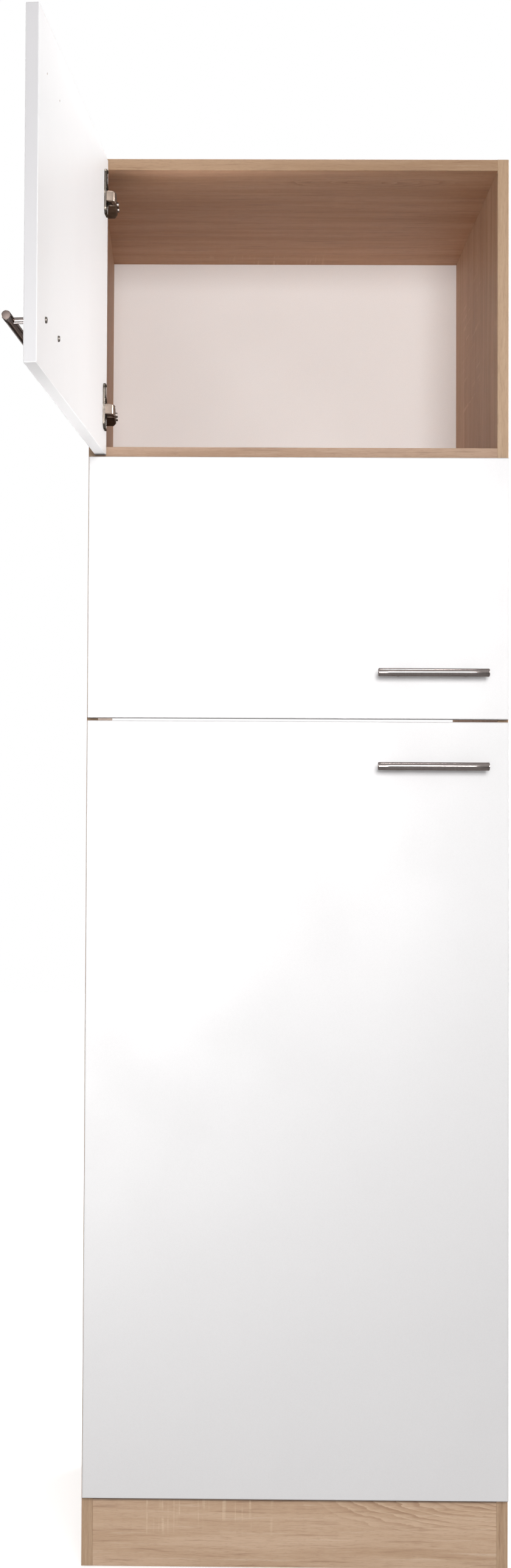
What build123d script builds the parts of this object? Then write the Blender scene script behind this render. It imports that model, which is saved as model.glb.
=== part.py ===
from build123d import *
import os

# Tall housing unit for a built-in fridge, in millimetres.
# X runs across the width, Y from the front to the back and Z up.
# The origin is the centre of the plinth board's underside.

# Carcass
UNIT_WIDTH = 600.0
UNIT_HEIGHT = 2000.0
UNIT_DEPTH = 550.0
BOARD = 16.0
BOARD_EDGE_ROUND = 0.8
PLINTH_HEIGHT = 95.0
FRIDGE_FLOOR_DEPTH = 500.0
RAIL_HEIGHT = 80.0

# Thin back of the upper compartment, held in grooves
BACK_SETBACK = 509.0
BACK_THICKNESS = 3.0
GROOVE_DEPTH = 8.0
GROOVE_PLAY = 0.1
GROOVE_END_PLAY = 0.5
GROOVE_LIP = 6.0

# Doors
DOOR_THICKNESS = 16.0
DOOR_GAP = 2.0
DOOR_SIDE_REVEAL = 1.5
DOOR_TOP_REVEAL = 4.0
DOOR_JOINT = 4.0
DOOR_EDGE_ROUND = 1.0
TOP_DOOR_HEIGHT = 425.0
MIDDLE_DOOR_HEIGHT = 372.0
SHELF_COVER = 13.0
PLINTH_REVEAL = 4.0
OPEN_ANGLE = 95.6
LINK_TURN = 38.9

# Height of each hinge above its door's lower edge, or below its upper edge
HINGE_RISE = 64.0
TOP_HINGE_DROP = 55.0
MIDDLE_HINGE_DROP = 64.0
BOTTOM_HINGE_RISE = 96.0
BOTTOM_HINGE_DROP = 96.0

# Hinge cup in the door
CUP_RADIUS = 17.5
CUP_DEPTH = 11.3
CUP_WALL = 1.0
CUP_FLOOR = 0.8
CUP_EDGE_DISTANCE = 4.5
CUP_BORE_PLAY = 0.1
CUP_BORE_BOTTOM_PLAY = 0.2
FLANGE_THICKNESS = 1.5
FLANGE_RIM = 1.5
FLANGE_HEIGHT = 65.0
FLANGE_WIDTH = 26.0
FLANGE_OFFSET = 5.0
FLANGE_CORNER = 9.0
FLANGE_SOFT_EDGE = 0.6
CUP_SCREW_SPACING = 48.0
CUP_SCREW_OFFSET = 6.0
NOTCH_REACH = 8.0
NOTCH_DEPTH = 3.0
EAR_THICKNESS = 1.5
EAR_LENGTH = 7.4

# Hinge link and its two pins
PIN_RADIUS = 1.25
PIN_PLAY = 0.05
CUP_PIN_FROM_EDGE = 11.84
CUP_PIN_DEPTH = 2.98
ARM_PIN_REACH = 19.0
ARM_PIN_SETBACK = 0.0
LINK_HALF_WIDTH = 2.8
LINK_BULGE = 5.0
LINK_HEIGHT = 15.0
LINK_SHEET = 1.2
LINK_WEB = 1.0
MOVING_PLAY = 0.3

# Hinge arm and its mounting plate
ARM_HEIGHT = 15.0
ARM_SHEET = 1.2
ARM_REACH = 21.0
ARM_TAIL_REACH = 18.0
ARM_START = 6.0
ARM_TAPER_START = 57.0
ARM_END = 70.0
NOSE_RADIUS = 2.5
NOSE_WALL = 1.4
NOSE_JOINT_LENGTH = 10.0
NOSE_NECK_STEP = 0.5
NOSE_ROOT_DEPTH = 7.0
PLATE_THICKNESS = 2.0
PLATE_START = 22.0
PLATE_END = 62.0
PLATE_BLOCK_REACH = 14.0
WING_SETBACK = 37.0
WING_WIDTH = 16.0
WING_SPAN = 48.0
WING_CORNER = 4.0
WING_SCREW_SPACING = 32.0
ARM_SCREW_SETBACKS = (27.0, 52.0)

# Screws
WOOD_SCREW_RADIUS = 1.75
WOOD_SCREW_LENGTH = 10.0
SCREW_HEAD_RADIUS = 3.4
SCREW_HEAD_HEIGHT = 1.4
ARM_SCREW_RADIUS = 2.4
ARM_SCREW_HEAD_RADIUS = 3.6
ARM_SCREW_HEAD_HEIGHT = 2.6
CROSS_LENGTH = 3.6
CROSS_WIDTH = 0.8
CROSS_DEPTH = 0.8

# Bar handles
BAR_RADIUS = 5.7
BAR_LENGTH = 156.0
BAR_CHAMFER = 0.7
BAR_PROJECTION = 32.0
POST_RADIUS = 4.8
POST_SPACING = 96.0
HANDLE_END_DISTANCE = 31.0
HANDLE_EDGE_DISTANCE = 64.0
HANDLE_SCREW_RADIUS = 2.0
HANDLE_SCREW_ENGAGEMENT = 8.0
HANDLE_HOLE_PLAY = 0.25
HANDLE_HEAD_RADIUS = 3.9
HANDLE_HEAD_HEIGHT = 2.2
HANDLE_HEAD_ROUND = 1.1
PILOT_MARK_RADIUS = 1.6
PILOT_MARK_DEPTH = 0.8

# Fittings that join the boards
CAM_RADIUS = 7.4
CAM_HEIGHT = 12.0
CAM_SETBACK = 34.0
CAM_RECESS = 0.3
CAM_SLOT_LENGTH = 9.0
CAM_SLOT_WIDTH = 1.6
CAM_SLOT_DEPTH = 2.0
FITTING_PLAY = 0.1
BOLT_THREAD_RADIUS = 2.5
BOLT_THREAD_LENGTH = 11.0
BOLT_SHANK_RADIUS = 3.5
BOLT_SHANK_LENGTH = 25.0
BOLT_NECK_RADIUS = 2.0
BOLT_NECK_LENGTH = 4.0
BOLT_HEAD_RADIUS = 3.2
BOLT_HEAD_LENGTH = 3.0
BOLT_CHANNEL_RADIUS = 4.0
DOWEL_RADIUS = 4.0
DOWEL_IN_SIDE = 12.0
DOWEL_IN_BOARD = 23.0
DOWEL_CHAMFER = 1.0
BOLT_SETBACK = 60.0
BOLT_REAR_DISTANCE = 62.0
DOWEL_SETBACK = 92.0
DOWEL_REAR_DISTANCE = 94.0
UPRIGHT_BOLT_DROP = 26.0
UPRIGHT_DOWEL_RISE = 24.0

# Screw holes through the upper rear rail into the wall
WALL_HOLE_RADIUS = 3.0
WALL_HOLE_SPACING = 480.0

# How far a cutting shape runs past the face that it opens
OVERCUT = 1.0

# Places worked out from the sizes above
FRONT = -BOARD / 2
REAR = FRONT + UNIT_DEPTH
INNER = UNIT_WIDTH / 2 - BOARD
FLOOR_TOP = PLINTH_HEIGHT + BOARD
TOP_DOOR_Z = UNIT_HEIGHT - DOOR_TOP_REVEAL - TOP_DOOR_HEIGHT
SHELF_TOP = TOP_DOOR_Z + SHELF_COVER
SHELF_BOTTOM = SHELF_TOP - BOARD
TOP_UNDERSIDE = UNIT_HEIGHT - BOARD
BACK_FRONT = FRONT + BACK_SETBACK
BACK_REAR = BACK_FRONT + BACK_THICKNESS
SHELF_REAR = BACK_REAR + GROOVE_LIP
RAIL_FRONT = REAR - BOARD
DOOR_INSIDE = FRONT - DOOR_GAP
DOOR_OUTSIDE = DOOR_INSIDE - DOOR_THICKNESS
DOOR_HALF = UNIT_WIDTH / 2 - DOOR_SIDE_REVEAL
MIDDLE_DOOR_Z = TOP_DOOR_Z - DOOR_JOINT - MIDDLE_DOOR_HEIGHT
BOTTOM_DOOR_Z = PLINTH_HEIGHT + PLINTH_REVEAL
BOTTOM_DOOR_HEIGHT = MIDDLE_DOOR_Z - DOOR_JOINT - BOTTOM_DOOR_Z
CUP_X = -DOOR_HALF + CUP_EDGE_DISTANCE + CUP_RADIUS
CUP_PIN = (-DOOR_HALF + CUP_PIN_FROM_EDGE, DOOR_INSIDE - CUP_PIN_DEPTH)
ARM_PIN = (-INNER + ARM_PIN_REACH, FRONT + ARM_PIN_SETBACK)
BAR_Y = DOOR_OUTSIDE - BAR_PROJECTION + BAR_RADIUS
BAR_X = DOOR_HALF - HANDLE_END_DISTANCE - BAR_LENGTH / 2
EAR_INNER = LINK_HEIGHT / 2 + MOVING_PLAY
NOSE_OUTER = LINK_HEIGHT / 2 - LINK_SHEET - MOVING_PLAY
NOSE_INNER = NOSE_OUTER - NOSE_WALL
SIDES = (-1, 1)

# Each door: lower edge, height, heights of its hinges and of its handle
DOORS = {
    "top": (
        TOP_DOOR_Z,
        TOP_DOOR_HEIGHT,
        (TOP_DOOR_Z + HINGE_RISE, TOP_DOOR_Z + TOP_DOOR_HEIGHT - TOP_HINGE_DROP),
        TOP_DOOR_Z + HANDLE_EDGE_DISTANCE,
    ),
    "middle": (
        MIDDLE_DOOR_Z,
        MIDDLE_DOOR_HEIGHT,
        (MIDDLE_DOOR_Z + HINGE_RISE, MIDDLE_DOOR_Z + MIDDLE_DOOR_HEIGHT - MIDDLE_HINGE_DROP),
        MIDDLE_DOOR_Z + HANDLE_EDGE_DISTANCE,
    ),
    "bottom": (
        BOTTOM_DOOR_Z,
        BOTTOM_DOOR_HEIGHT,
        (
            BOTTOM_DOOR_Z + BOTTOM_HINGE_RISE,
            BOTTOM_DOOR_Z + (BOTTOM_HINGE_RISE + BOTTOM_DOOR_HEIGHT - BOTTOM_HINGE_DROP) / 2,
            BOTTOM_DOOR_Z + BOTTOM_DOOR_HEIGHT - BOTTOM_HINGE_DROP,
        ),
        BOTTOM_DOOR_Z + BOTTOM_DOOR_HEIGHT - HANDLE_EDGE_DISTANCE,
    ),
}


def block(x_span, y_span, z_span):
    """Box between two values along each axis."""
    sizes = [span[1] - span[0] for span in (x_span, y_span, z_span)]
    centre = [(span[1] + span[0]) / 2 for span in (x_span, y_span, z_span)]
    return Pos(*centre) * Box(*sizes)


def rod(start, direction, radius, length, end_radius=None):
    """Round bar, or cone, that starts at a point and runs along a direction."""
    plane = Plane(origin=start, z_dir=direction)
    low = (Align.CENTER, Align.CENTER, Align.MIN)
    if end_radius is None:
        return plane * Cylinder(radius, length, align=low)
    return plane * Cone(radius, end_radius, length, align=low)


def stepped_rod(start, direction, steps):
    """Coaxial round bars one after another, each given as radius and length."""
    place = Vector(*start)
    way = Vector(*direction)
    body = None
    for radius, length in steps:
        piece = rod(place, way, radius, length)
        body = piece if body is None else body + piece
        place = place + way * length
    return body


def cross_recess(centre, direction, length):
    """Cross-shaped driver recess that sinks from a screw head's face along a direction."""
    plane = Plane(origin=centre, z_dir=direction)
    low = (Align.CENTER, Align.CENTER, Align.MIN)
    bar_a = plane * Box(length, CROSS_WIDTH, CROSS_DEPTH, align=low)
    bar_b = plane * Box(CROSS_WIDTH, length, CROSS_DEPTH, align=low)
    return bar_a + bar_b


def raised(shapes, heights):
    """Copies of hinge pieces, drawn about height zero, at each height."""
    return [Pos(0, 0, height) * shape for height in heights for shape in shapes]


# Joints between the boards and the side panels

def board_joints():
    """Places where boards meet the sides: y, z, bolt or dowel, and the cam's face."""
    joints = []
    up, down, back = (0, 0, 1), (0, 0, -1), (0, 1, 0)
    flats = [
        (TOP_UNDERSIDE, SHELF_REAR, up),
        (SHELF_BOTTOM, SHELF_REAR, down),
        (PLINTH_HEIGHT, FRONT + FRIDGE_FLOOR_DEPTH, down),
    ]
    for bottom, rear, face in flats:
        z = bottom + BOARD / 2
        joints += [(y, z, "bolt", face) for y in (FRONT + BOLT_SETBACK, rear - BOLT_REAR_DISTANCE)]
        joints += [(y, z, "dowel", face) for y in (FRONT + DOWEL_SETBACK, rear - DOWEL_REAR_DISTANCE)]
    uprights = [
        (FRONT, 0.0, PLINTH_HEIGHT),
        (RAIL_FRONT, FLOOR_TOP, RAIL_HEIGHT),
        (RAIL_FRONT, TOP_UNDERSIDE - RAIL_HEIGHT, RAIL_HEIGHT),
    ]
    for front, bottom, height in uprights:
        y = front + BOARD / 2
        joints.append((y, bottom + height - UPRIGHT_BOLT_DROP, "bolt", back))
        joints.append((y, bottom + UPRIGHT_DOWEL_RISE, "dowel", back))
    return joints


def side_bores(side):
    """Blind bores in one side panel for the cam bolts and dowels."""
    bores = []
    for y, z, kind, _ in board_joints():
        if kind == "bolt":
            radius, depth = BOLT_THREAD_RADIUS, BOLT_THREAD_LENGTH
        else:
            radius, depth = DOWEL_RADIUS + FITTING_PLAY, DOWEL_IN_SIDE + FITTING_PLAY
        bores.append(rod((side * INNER, y, z), (side, 0, 0), radius, depth))
    return bores


def cam_start(side, y, z, face):
    """Centre of a cam bore's mouth on the face that it opens to."""
    centre = Vector(side * (INNER - CAM_SETBACK), y, z)
    return centre + Vector(*face) * (BOARD / 2)


def board_bores():
    """Bores in the boards' ends and faces for the cams, bolts and dowels."""
    bores = []
    for side in SIDES:
        for y, z, kind, face in board_joints():
            inward = (-side, 0, 0)
            if kind == "dowel":
                radius = DOWEL_RADIUS + FITTING_PLAY
                bores.append(rod((side * INNER, y, z), inward, radius, DOWEL_IN_BOARD + FITTING_PLAY))
                continue
            bores.append(rod((side * INNER, y, z), inward, BOLT_CHANNEL_RADIUS, CAM_SETBACK))
            sink = Vector(*face) * -1
            depth = CAM_RECESS + CAM_HEIGHT
            mouth = cam_start(side, y, z, face)
            bores.append(rod(mouth, sink, CAM_RADIUS + FITTING_PLAY, depth))
    return bores


def cam_disc(side, y, z, face):
    """Round cam with a hollow for the bolt's head and a driver slot."""
    sink = Vector(*face) * -1
    top = cam_start(side, y, z, face) + sink * CAM_RECESS
    disc = rod(top, sink, CAM_RADIUS, CAM_HEIGHT)
    hollow_start = (side * (INNER - CAM_SETBACK) - side * BOLT_HEAD_LENGTH, y, z)
    hollow = rod(hollow_start, (side, 0, 0), BOLT_CHANNEL_RADIUS, BOLT_HEAD_LENGTH + CAM_RADIUS)
    slot = Plane(origin=top, z_dir=sink) * Box(
        CAM_SLOT_LENGTH, CAM_SLOT_WIDTH, CAM_SLOT_DEPTH, align=(Align.CENTER, Align.CENTER, Align.MIN)
    )
    return disc - hollow - slot


def cam_bolt(side, y, z):
    """Bolt screwed into the side panel, with its head inside the cam."""
    start = (side * (INNER + BOLT_THREAD_LENGTH), y, z)
    steps = (
        (BOLT_THREAD_RADIUS, BOLT_THREAD_LENGTH),
        (BOLT_SHANK_RADIUS, BOLT_SHANK_LENGTH),
        (BOLT_NECK_RADIUS, BOLT_NECK_LENGTH),
        (BOLT_HEAD_RADIUS, BOLT_HEAD_LENGTH),
    )
    return stepped_rod(start, (-side, 0, 0), steps)


def wood_dowel(side, y, z):
    """Round dowel with chamfered ends across a board's end."""
    dowel = rod(
        (side * (INNER + DOWEL_IN_SIDE), y, z),
        (-side, 0, 0),
        DOWEL_RADIUS,
        DOWEL_IN_SIDE + DOWEL_IN_BOARD,
    )
    return chamfer(dowel.edges().filter_by(GeomType.CIRCLE), DOWEL_CHAMFER)


# Boards

def soften_front(board):
    """Round the two long edges of a board's front edge."""
    front_edges = board.edges().group_by(Axis.Y)[0]
    longest = front_edges.sort_by(SortBy.LENGTH)[-2:]
    return fillet(longest, BOARD_EDGE_ROUND)


def side_panel(side):
    """Full-height side panel with its groove and bores."""
    panel = block(
        sorted((side * INNER, side * UNIT_WIDTH / 2)), (FRONT, REAR), (0, UNIT_HEIGHT)
    )
    panel = soften_front(panel)
    groove = block(
        sorted((side * INNER, side * (INNER + GROOVE_DEPTH))),
        (BACK_FRONT - GROOVE_PLAY, BACK_REAR + GROOVE_PLAY),
        (SHELF_TOP - GROOVE_DEPTH, TOP_UNDERSIDE + GROOVE_DEPTH),
    )
    cuts = [groove] + side_bores(side)
    if side < 0:
        cuts += plate_screw_bores()
    return panel - cuts


def flat_board(bottom, rear):
    """Horizontal board between the side panels."""
    return soften_front(block((-INNER, INNER), (FRONT, rear), (bottom, bottom + BOARD)))


def upright_board(front, bottom, height):
    """Vertical cross board between the side panels."""
    return block((-INNER, INNER), (front, front + BOARD), (bottom, bottom + height))


def back_groove(z_span):
    """Groove across a board for the thin back."""
    return block((-INNER, INNER), (BACK_FRONT - GROOVE_PLAY, BACK_REAR + GROOVE_PLAY), z_span)


def compartment_back():
    """Thin panel that closes the upper compartment."""
    reach = INNER + GROOVE_DEPTH - GROOVE_END_PLAY
    return block(
        (-reach, reach),
        (BACK_FRONT, BACK_REAR),
        (SHELF_TOP - GROOVE_DEPTH + GROOVE_END_PLAY, TOP_UNDERSIDE + GROOVE_DEPTH - GROOVE_END_PLAY),
    )


def upper_rear_rail():
    """Rail behind the upper compartment, with the wall screw holes."""
    bottom = TOP_UNDERSIDE - RAIL_HEIGHT
    rail = upright_board(RAIL_FRONT, bottom, RAIL_HEIGHT)
    middle = bottom + RAIL_HEIGHT / 2
    holes = [
        rod((x, RAIL_FRONT, middle), (0, 1, 0), WALL_HOLE_RADIUS, BOARD)
        for x in (-WALL_HOLE_SPACING / 2, WALL_HOLE_SPACING / 2)
    ]
    return rail - holes


def carcass_nodes():
    """All boards and board fittings."""
    bores = board_bores()
    top_cuts = bores + [back_groove((TOP_UNDERSIDE, TOP_UNDERSIDE + GROOVE_DEPTH))]
    shelf_cuts = bores + [back_groove((SHELF_TOP - GROOVE_DEPTH, SHELF_TOP))]
    joints = [(side, joint) for side in SIDES for joint in board_joints()]
    bolts = [(side, joint) for side, joint in joints if joint[2] == "bolt"]
    return {
        "left_side_panel": side_panel(-1),
        "right_side_panel": side_panel(1),
        "top_panel": flat_board(TOP_UNDERSIDE, SHELF_REAR) - top_cuts,
        "compartment_floor": flat_board(SHELF_BOTTOM, SHELF_REAR) - shelf_cuts,
        "fridge_floor": flat_board(PLINTH_HEIGHT, FRONT + FRIDGE_FLOOR_DEPTH) - bores,
        "plinth_board": upright_board(FRONT, 0.0, PLINTH_HEIGHT) - bores,
        "lower_rear_rail": upright_board(RAIL_FRONT, FLOOR_TOP, RAIL_HEIGHT) - bores,
        "upper_rear_rail": upper_rear_rail() - bores,
        "compartment_back": compartment_back(),
        "cam_discs": [cam_disc(side, y, z, face) for side, (y, z, _, face) in bolts],
        "cam_bolts": [cam_bolt(side, y, z) for side, (y, z, _, _) in bolts],
        "wood_dowels": [
            wood_dowel(side, y, z) for side, (y, z, kind, _) in joints if kind == "dowel"
        ],
    }


# Hinge pieces, drawn closed and with the hinge's middle at height zero

def countersunk_screw(face_point, direction):
    """Wood screw with a flat cross-recessed head, sunk along a direction."""
    start = Vector(*face_point)
    way = Vector(*direction)
    head = rod(start, way, SCREW_HEAD_RADIUS, SCREW_HEAD_HEIGHT, WOOD_SCREW_RADIUS)
    shank = rod(start, way, WOOD_SCREW_RADIUS, SCREW_HEAD_HEIGHT + WOOD_SCREW_LENGTH)
    return head + shank - cross_recess(start, way, CROSS_LENGTH)


def countersunk_hole(face_point, direction, thickness):
    """Hole in sheet metal for a countersunk screw."""
    start = Vector(*face_point)
    way = Vector(*direction)
    head = rod(start, way, SCREW_HEAD_RADIUS, SCREW_HEAD_HEIGHT, WOOD_SCREW_RADIUS)
    return head + rod(start, way, WOOD_SCREW_RADIUS, thickness)


def cup_screw_places():
    """Centres of the two screws on the cup's flange face."""
    x = CUP_X + CUP_SCREW_OFFSET
    y = DOOR_INSIDE + FLANGE_THICKNESS
    return [(x, y, side * CUP_SCREW_SPACING / 2) for side in SIDES]


def hinge_cup():
    """Cup with its flange, the notch for the link and two ears for the pin."""
    into_door = (0, -1, 0)
    face = Plane(origin=(CUP_X, DOOR_INSIDE, 0), x_dir=(1, 0, 0), z_dir=(0, 1, 0))
    wings = Pos(FLANGE_OFFSET, 0) * RectangleRounded(FLANGE_WIDTH, FLANGE_HEIGHT, FLANGE_CORNER)
    outline = wings + Circle(CUP_RADIUS + FLANGE_RIM)
    flange = extrude(face * outline, FLANGE_THICKNESS)
    flange = fillet(flange.faces().sort_by(Axis.Y)[-1].edges(), FLANGE_SOFT_EDGE)
    pot = rod((CUP_X, DOOR_INSIDE, 0), into_door, CUP_RADIUS, CUP_DEPTH)
    mouth = (CUP_X, DOOR_INSIDE + FLANGE_THICKNESS, 0)
    hollow_depth = FLANGE_THICKNESS + CUP_DEPTH - CUP_FLOOR
    hollow = rod(mouth, into_door, CUP_RADIUS - CUP_WALL, hollow_depth)
    notch = block(
        (CUP_X - CUP_RADIUS - FLANGE_RIM - OVERCUT, CUP_PIN[0]),
        (DOOR_INSIDE - NOTCH_DEPTH, DOOR_INSIDE + FLANGE_THICKNESS + OVERCUT),
        (-NOTCH_REACH, NOTCH_REACH),
    )
    cup = flange + pot - hollow - notch
    for side in SIDES:
        ear = block(
            (CUP_PIN[0] - EAR_LENGTH / 2, CUP_PIN[0] + EAR_LENGTH / 2),
            (DOOR_INSIDE - CUP_DEPTH + CUP_FLOOR / 2, DOOR_INSIDE),
            sorted((side * EAR_INNER, side * (EAR_INNER + EAR_THICKNESS))),
        )
        cup = cup + ear
    reach = EAR_INNER + EAR_THICKNESS
    pin_hole = rod((*CUP_PIN, -reach), (0, 0, 1), PIN_RADIUS, 2 * reach)
    screw_holes = [
        countersunk_hole(place, into_door, FLANGE_THICKNESS) for place in cup_screw_places()
    ]
    return cup - [pin_hole] - screw_holes


def cup_pin():
    """Pin across the cup's ears that carries the link."""
    reach = EAR_INNER + EAR_THICKNESS
    return rod((*CUP_PIN, -reach), (0, 0, 1), PIN_RADIUS, 2 * reach)


def link_slot(start, end, half_width):
    """Curved slot outline from one pin to the other, bulging away from the door's edge."""
    return SlotArc(SagittaArc(start, end, -LINK_BULGE), 2 * half_width)


def hinge_link():
    """Channel-shaped link between the cup's pin and the arm's pin."""
    half = LINK_HEIGHT / 2
    inner_half = half - LINK_SHEET
    shell = extrude(link_slot(CUP_PIN, ARM_PIN, LINK_HALF_WIDTH), half, both=True)
    chord = Vector(ARM_PIN[0] - CUP_PIN[0], ARM_PIN[1] - CUP_PIN[1]).normalized()
    inward = Vector(-chord.Y, chord.X) * LINK_WEB
    moved = [(pin[0] + inward.X, pin[1] + inward.Y) for pin in (CUP_PIN, ARM_PIN)]
    channel = extrude(link_slot(moved[0], moved[1], LINK_HALF_WIDTH), inner_half, both=True)
    nose_room = rod(
        (*ARM_PIN, -inner_half), (0, 0, 1), NOSE_RADIUS + MOVING_PLAY, 2 * inner_half
    )
    holes = [
        rod((*pin, -half), (0, 0, 1), PIN_RADIUS + PIN_PLAY, LINK_HEIGHT)
        for pin in (CUP_PIN, ARM_PIN)
    ]
    return shell - [channel, nose_room] - holes


def arm_pin():
    """Pin across the arm's nose that carries the link."""
    return rod((*ARM_PIN, -LINK_HEIGHT / 2), (0, 0, 1), PIN_RADIUS, LINK_HEIGHT)


def arm_outline():
    """Side view of the arm's channel, from its front to its tail."""
    base = -INNER + PLATE_THICKNESS
    points = [
        (base, FRONT + ARM_START),
        (-INNER + ARM_REACH, FRONT + ARM_START),
        (-INNER + ARM_REACH, FRONT + ARM_TAPER_START),
        (-INNER + ARM_TAIL_REACH, FRONT + ARM_END),
        (base, FRONT + ARM_END),
    ]
    return make_face(Polyline(points, close=True))


def hinge_arm():
    """Channel-shaped arm with two nose walls that hold the pin."""
    half = ARM_HEIGHT / 2
    inner_half = half - ARM_SHEET
    outline = arm_outline()
    shell = extrude(outline, half, both=True)
    hollow = Pos(-ARM_SHEET, 0, 0) * extrude(outline, inner_half, both=True)
    arm = shell - hollow
    root_x = (ARM_PIN[0] - NOSE_ROOT_DEPTH, -INNER + ARM_REACH)
    for side in SIDES:
        wall_z = sorted((side * NOSE_INNER, side * NOSE_OUTER))
        eye = rod((*ARM_PIN, wall_z[0]), (0, 0, 1), NOSE_RADIUS, NOSE_WALL)
        neck = block(
            (ARM_PIN[0] - NOSE_RADIUS, ARM_PIN[0] + NOSE_RADIUS - NOSE_NECK_STEP),
            (ARM_PIN[1], FRONT + ARM_START + NOSE_JOINT_LENGTH),
            wall_z,
        )
        root_z = sorted((side * NOSE_INNER, side * (inner_half + ARM_SHEET / 2)))
        root = block(
            root_x, (FRONT + ARM_START, FRONT + ARM_START + NOSE_JOINT_LENGTH), root_z
        )
        arm = arm + [eye, neck, root]
    pin_hole = rod((*ARM_PIN, -half), (0, 0, 1), PIN_RADIUS, ARM_HEIGHT)
    screw_holes = [
        rod((-INNER, FRONT + setback, 0), (1, 0, 0), ARM_SCREW_RADIUS, ARM_REACH + OVERCUT)
        for setback in ARM_SCREW_SETBACKS
    ]
    return arm - [pin_hole] - screw_holes


def plate_screw_places():
    """Centres of the two screws on a mounting plate's wings."""
    x = -INNER + PLATE_THICKNESS
    return [(x, FRONT + WING_SETBACK, side * WING_SCREW_SPACING / 2) for side in SIDES]


def plate_screw_bores():
    """Blind bores in the left side panel for every mounting plate."""
    bores = []
    for height in hinge_heights():
        for x, y, z in plate_screw_places():
            length = SCREW_HEAD_HEIGHT + WOOD_SCREW_LENGTH
            bores.append(rod((x, y, z + height), (-1, 0, 0), WOOD_SCREW_RADIUS, length))
    return bores


def mounting_plate():
    """Cross-shaped plate on the side panel with a block that carries the arm."""
    base_x = (-INNER, -INNER + PLATE_THICKNESS)
    block_half = ARM_HEIGHT / 2 - ARM_SHEET - MOVING_PLAY
    wing_y = (FRONT + WING_SETBACK - WING_WIDTH / 2, FRONT + WING_SETBACK + WING_WIDTH / 2)
    wings = block(base_x, wing_y, (-WING_SPAN / 2, WING_SPAN / 2))
    wings = fillet(wings.edges().filter_by(Axis.X), WING_CORNER)
    carrier = block(
        (-INNER, -INNER + PLATE_BLOCK_REACH),
        (FRONT + PLATE_START, FRONT + PLATE_END),
        (-block_half, block_half),
    )
    holes = [
        countersunk_hole(place, (-1, 0, 0), PLATE_THICKNESS) for place in plate_screw_places()
    ]
    threads = [
        rod(
            (-INNER + PLATE_THICKNESS, FRONT + setback, 0),
            (1, 0, 0),
            ARM_SCREW_RADIUS,
            PLATE_BLOCK_REACH,
        )
        for setback in ARM_SCREW_SETBACKS
    ]
    return wings + carrier - holes - threads


def arm_screw(setback):
    """Adjusting screw through the arm into the plate's block."""
    start = (-INNER + PLATE_THICKNESS, FRONT + setback, 0)
    shank = rod(start, (1, 0, 0), ARM_SCREW_RADIUS, ARM_REACH - PLATE_THICKNESS)
    face = Vector(-INNER + ARM_REACH + ARM_SCREW_HEAD_HEIGHT, FRONT + setback, 0)
    head = rod(face, (-1, 0, 0), ARM_SCREW_HEAD_RADIUS, ARM_SCREW_HEAD_HEIGHT)
    return shank + head - cross_recess(face, (-1, 0, 0), CROSS_LENGTH)


def hinge_heights():
    """Heights of every hinge, door by door."""
    return [height for door in DOORS.values() for height in door[2]]


def hinge_arm_nodes():
    """Hinge pieces that stay on the left side panel."""
    heights = hinge_heights()
    plate_screws = [countersunk_screw(place, (-1, 0, 0)) for place in plate_screw_places()]
    arm_screws = [arm_screw(setback) for setback in ARM_SCREW_SETBACKS]
    return {
        "hinge_arms": raised([hinge_arm()], heights),
        "hinge_arm_pins": raised([arm_pin()], heights),
        "hinge_plates": raised([mounting_plate()], heights),
        "hinge_plate_screws": raised(plate_screws, heights),
        "hinge_arm_screws": raised(arm_screws, heights),
    }


# Doors and handles, drawn closed

def handle_post_places():
    """X of the two handle posts."""
    return [BAR_X + side * POST_SPACING / 2 for side in SIDES]


def door_panel(bottom, height, hinges, handle_z):
    """White door board with its hinge bores and handle holes."""
    panel = block((-DOOR_HALF, DOOR_HALF), (DOOR_OUTSIDE, DOOR_INSIDE), (bottom, bottom + height))
    panel = fillet(panel.edges(), DOOR_EDGE_ROUND)
    cuts = []
    for z in hinges:
        depth = CUP_DEPTH + CUP_BORE_BOTTOM_PLAY
        cuts.append(rod((CUP_X, DOOR_INSIDE, z), (0, -1, 0), CUP_RADIUS + CUP_BORE_PLAY, depth))
        for x, y, screw_z in cup_screw_places():
            start = (x, y, z + screw_z)
            length = SCREW_HEAD_HEIGHT + WOOD_SCREW_LENGTH
            cuts.append(rod(start, (0, -1, 0), WOOD_SCREW_RADIUS, length))
    for x in handle_post_places():
        start = (x, DOOR_INSIDE, handle_z)
        radius = HANDLE_SCREW_RADIUS + HANDLE_HOLE_PLAY
        cuts.append(rod(start, (0, -1, 0), radius, DOOR_THICKNESS))
    return panel - cuts


def pilot_marks():
    """Shallow marks inside the top door for a handle at its other edge."""
    z = TOP_DOOR_Z + TOP_DOOR_HEIGHT - HANDLE_EDGE_DISTANCE
    return [
        rod((x, DOOR_INSIDE, z), (0, -1, 0), PILOT_MARK_RADIUS, PILOT_MARK_DEPTH)
        for x in handle_post_places()
    ]


def handle_bar(z):
    """Round bar that runs level across the door's free side."""
    bar = rod((BAR_X - BAR_LENGTH / 2, BAR_Y, z), (1, 0, 0), BAR_RADIUS, BAR_LENGTH)
    return chamfer(bar.edges().filter_by(GeomType.CIRCLE), BAR_CHAMFER)


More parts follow.
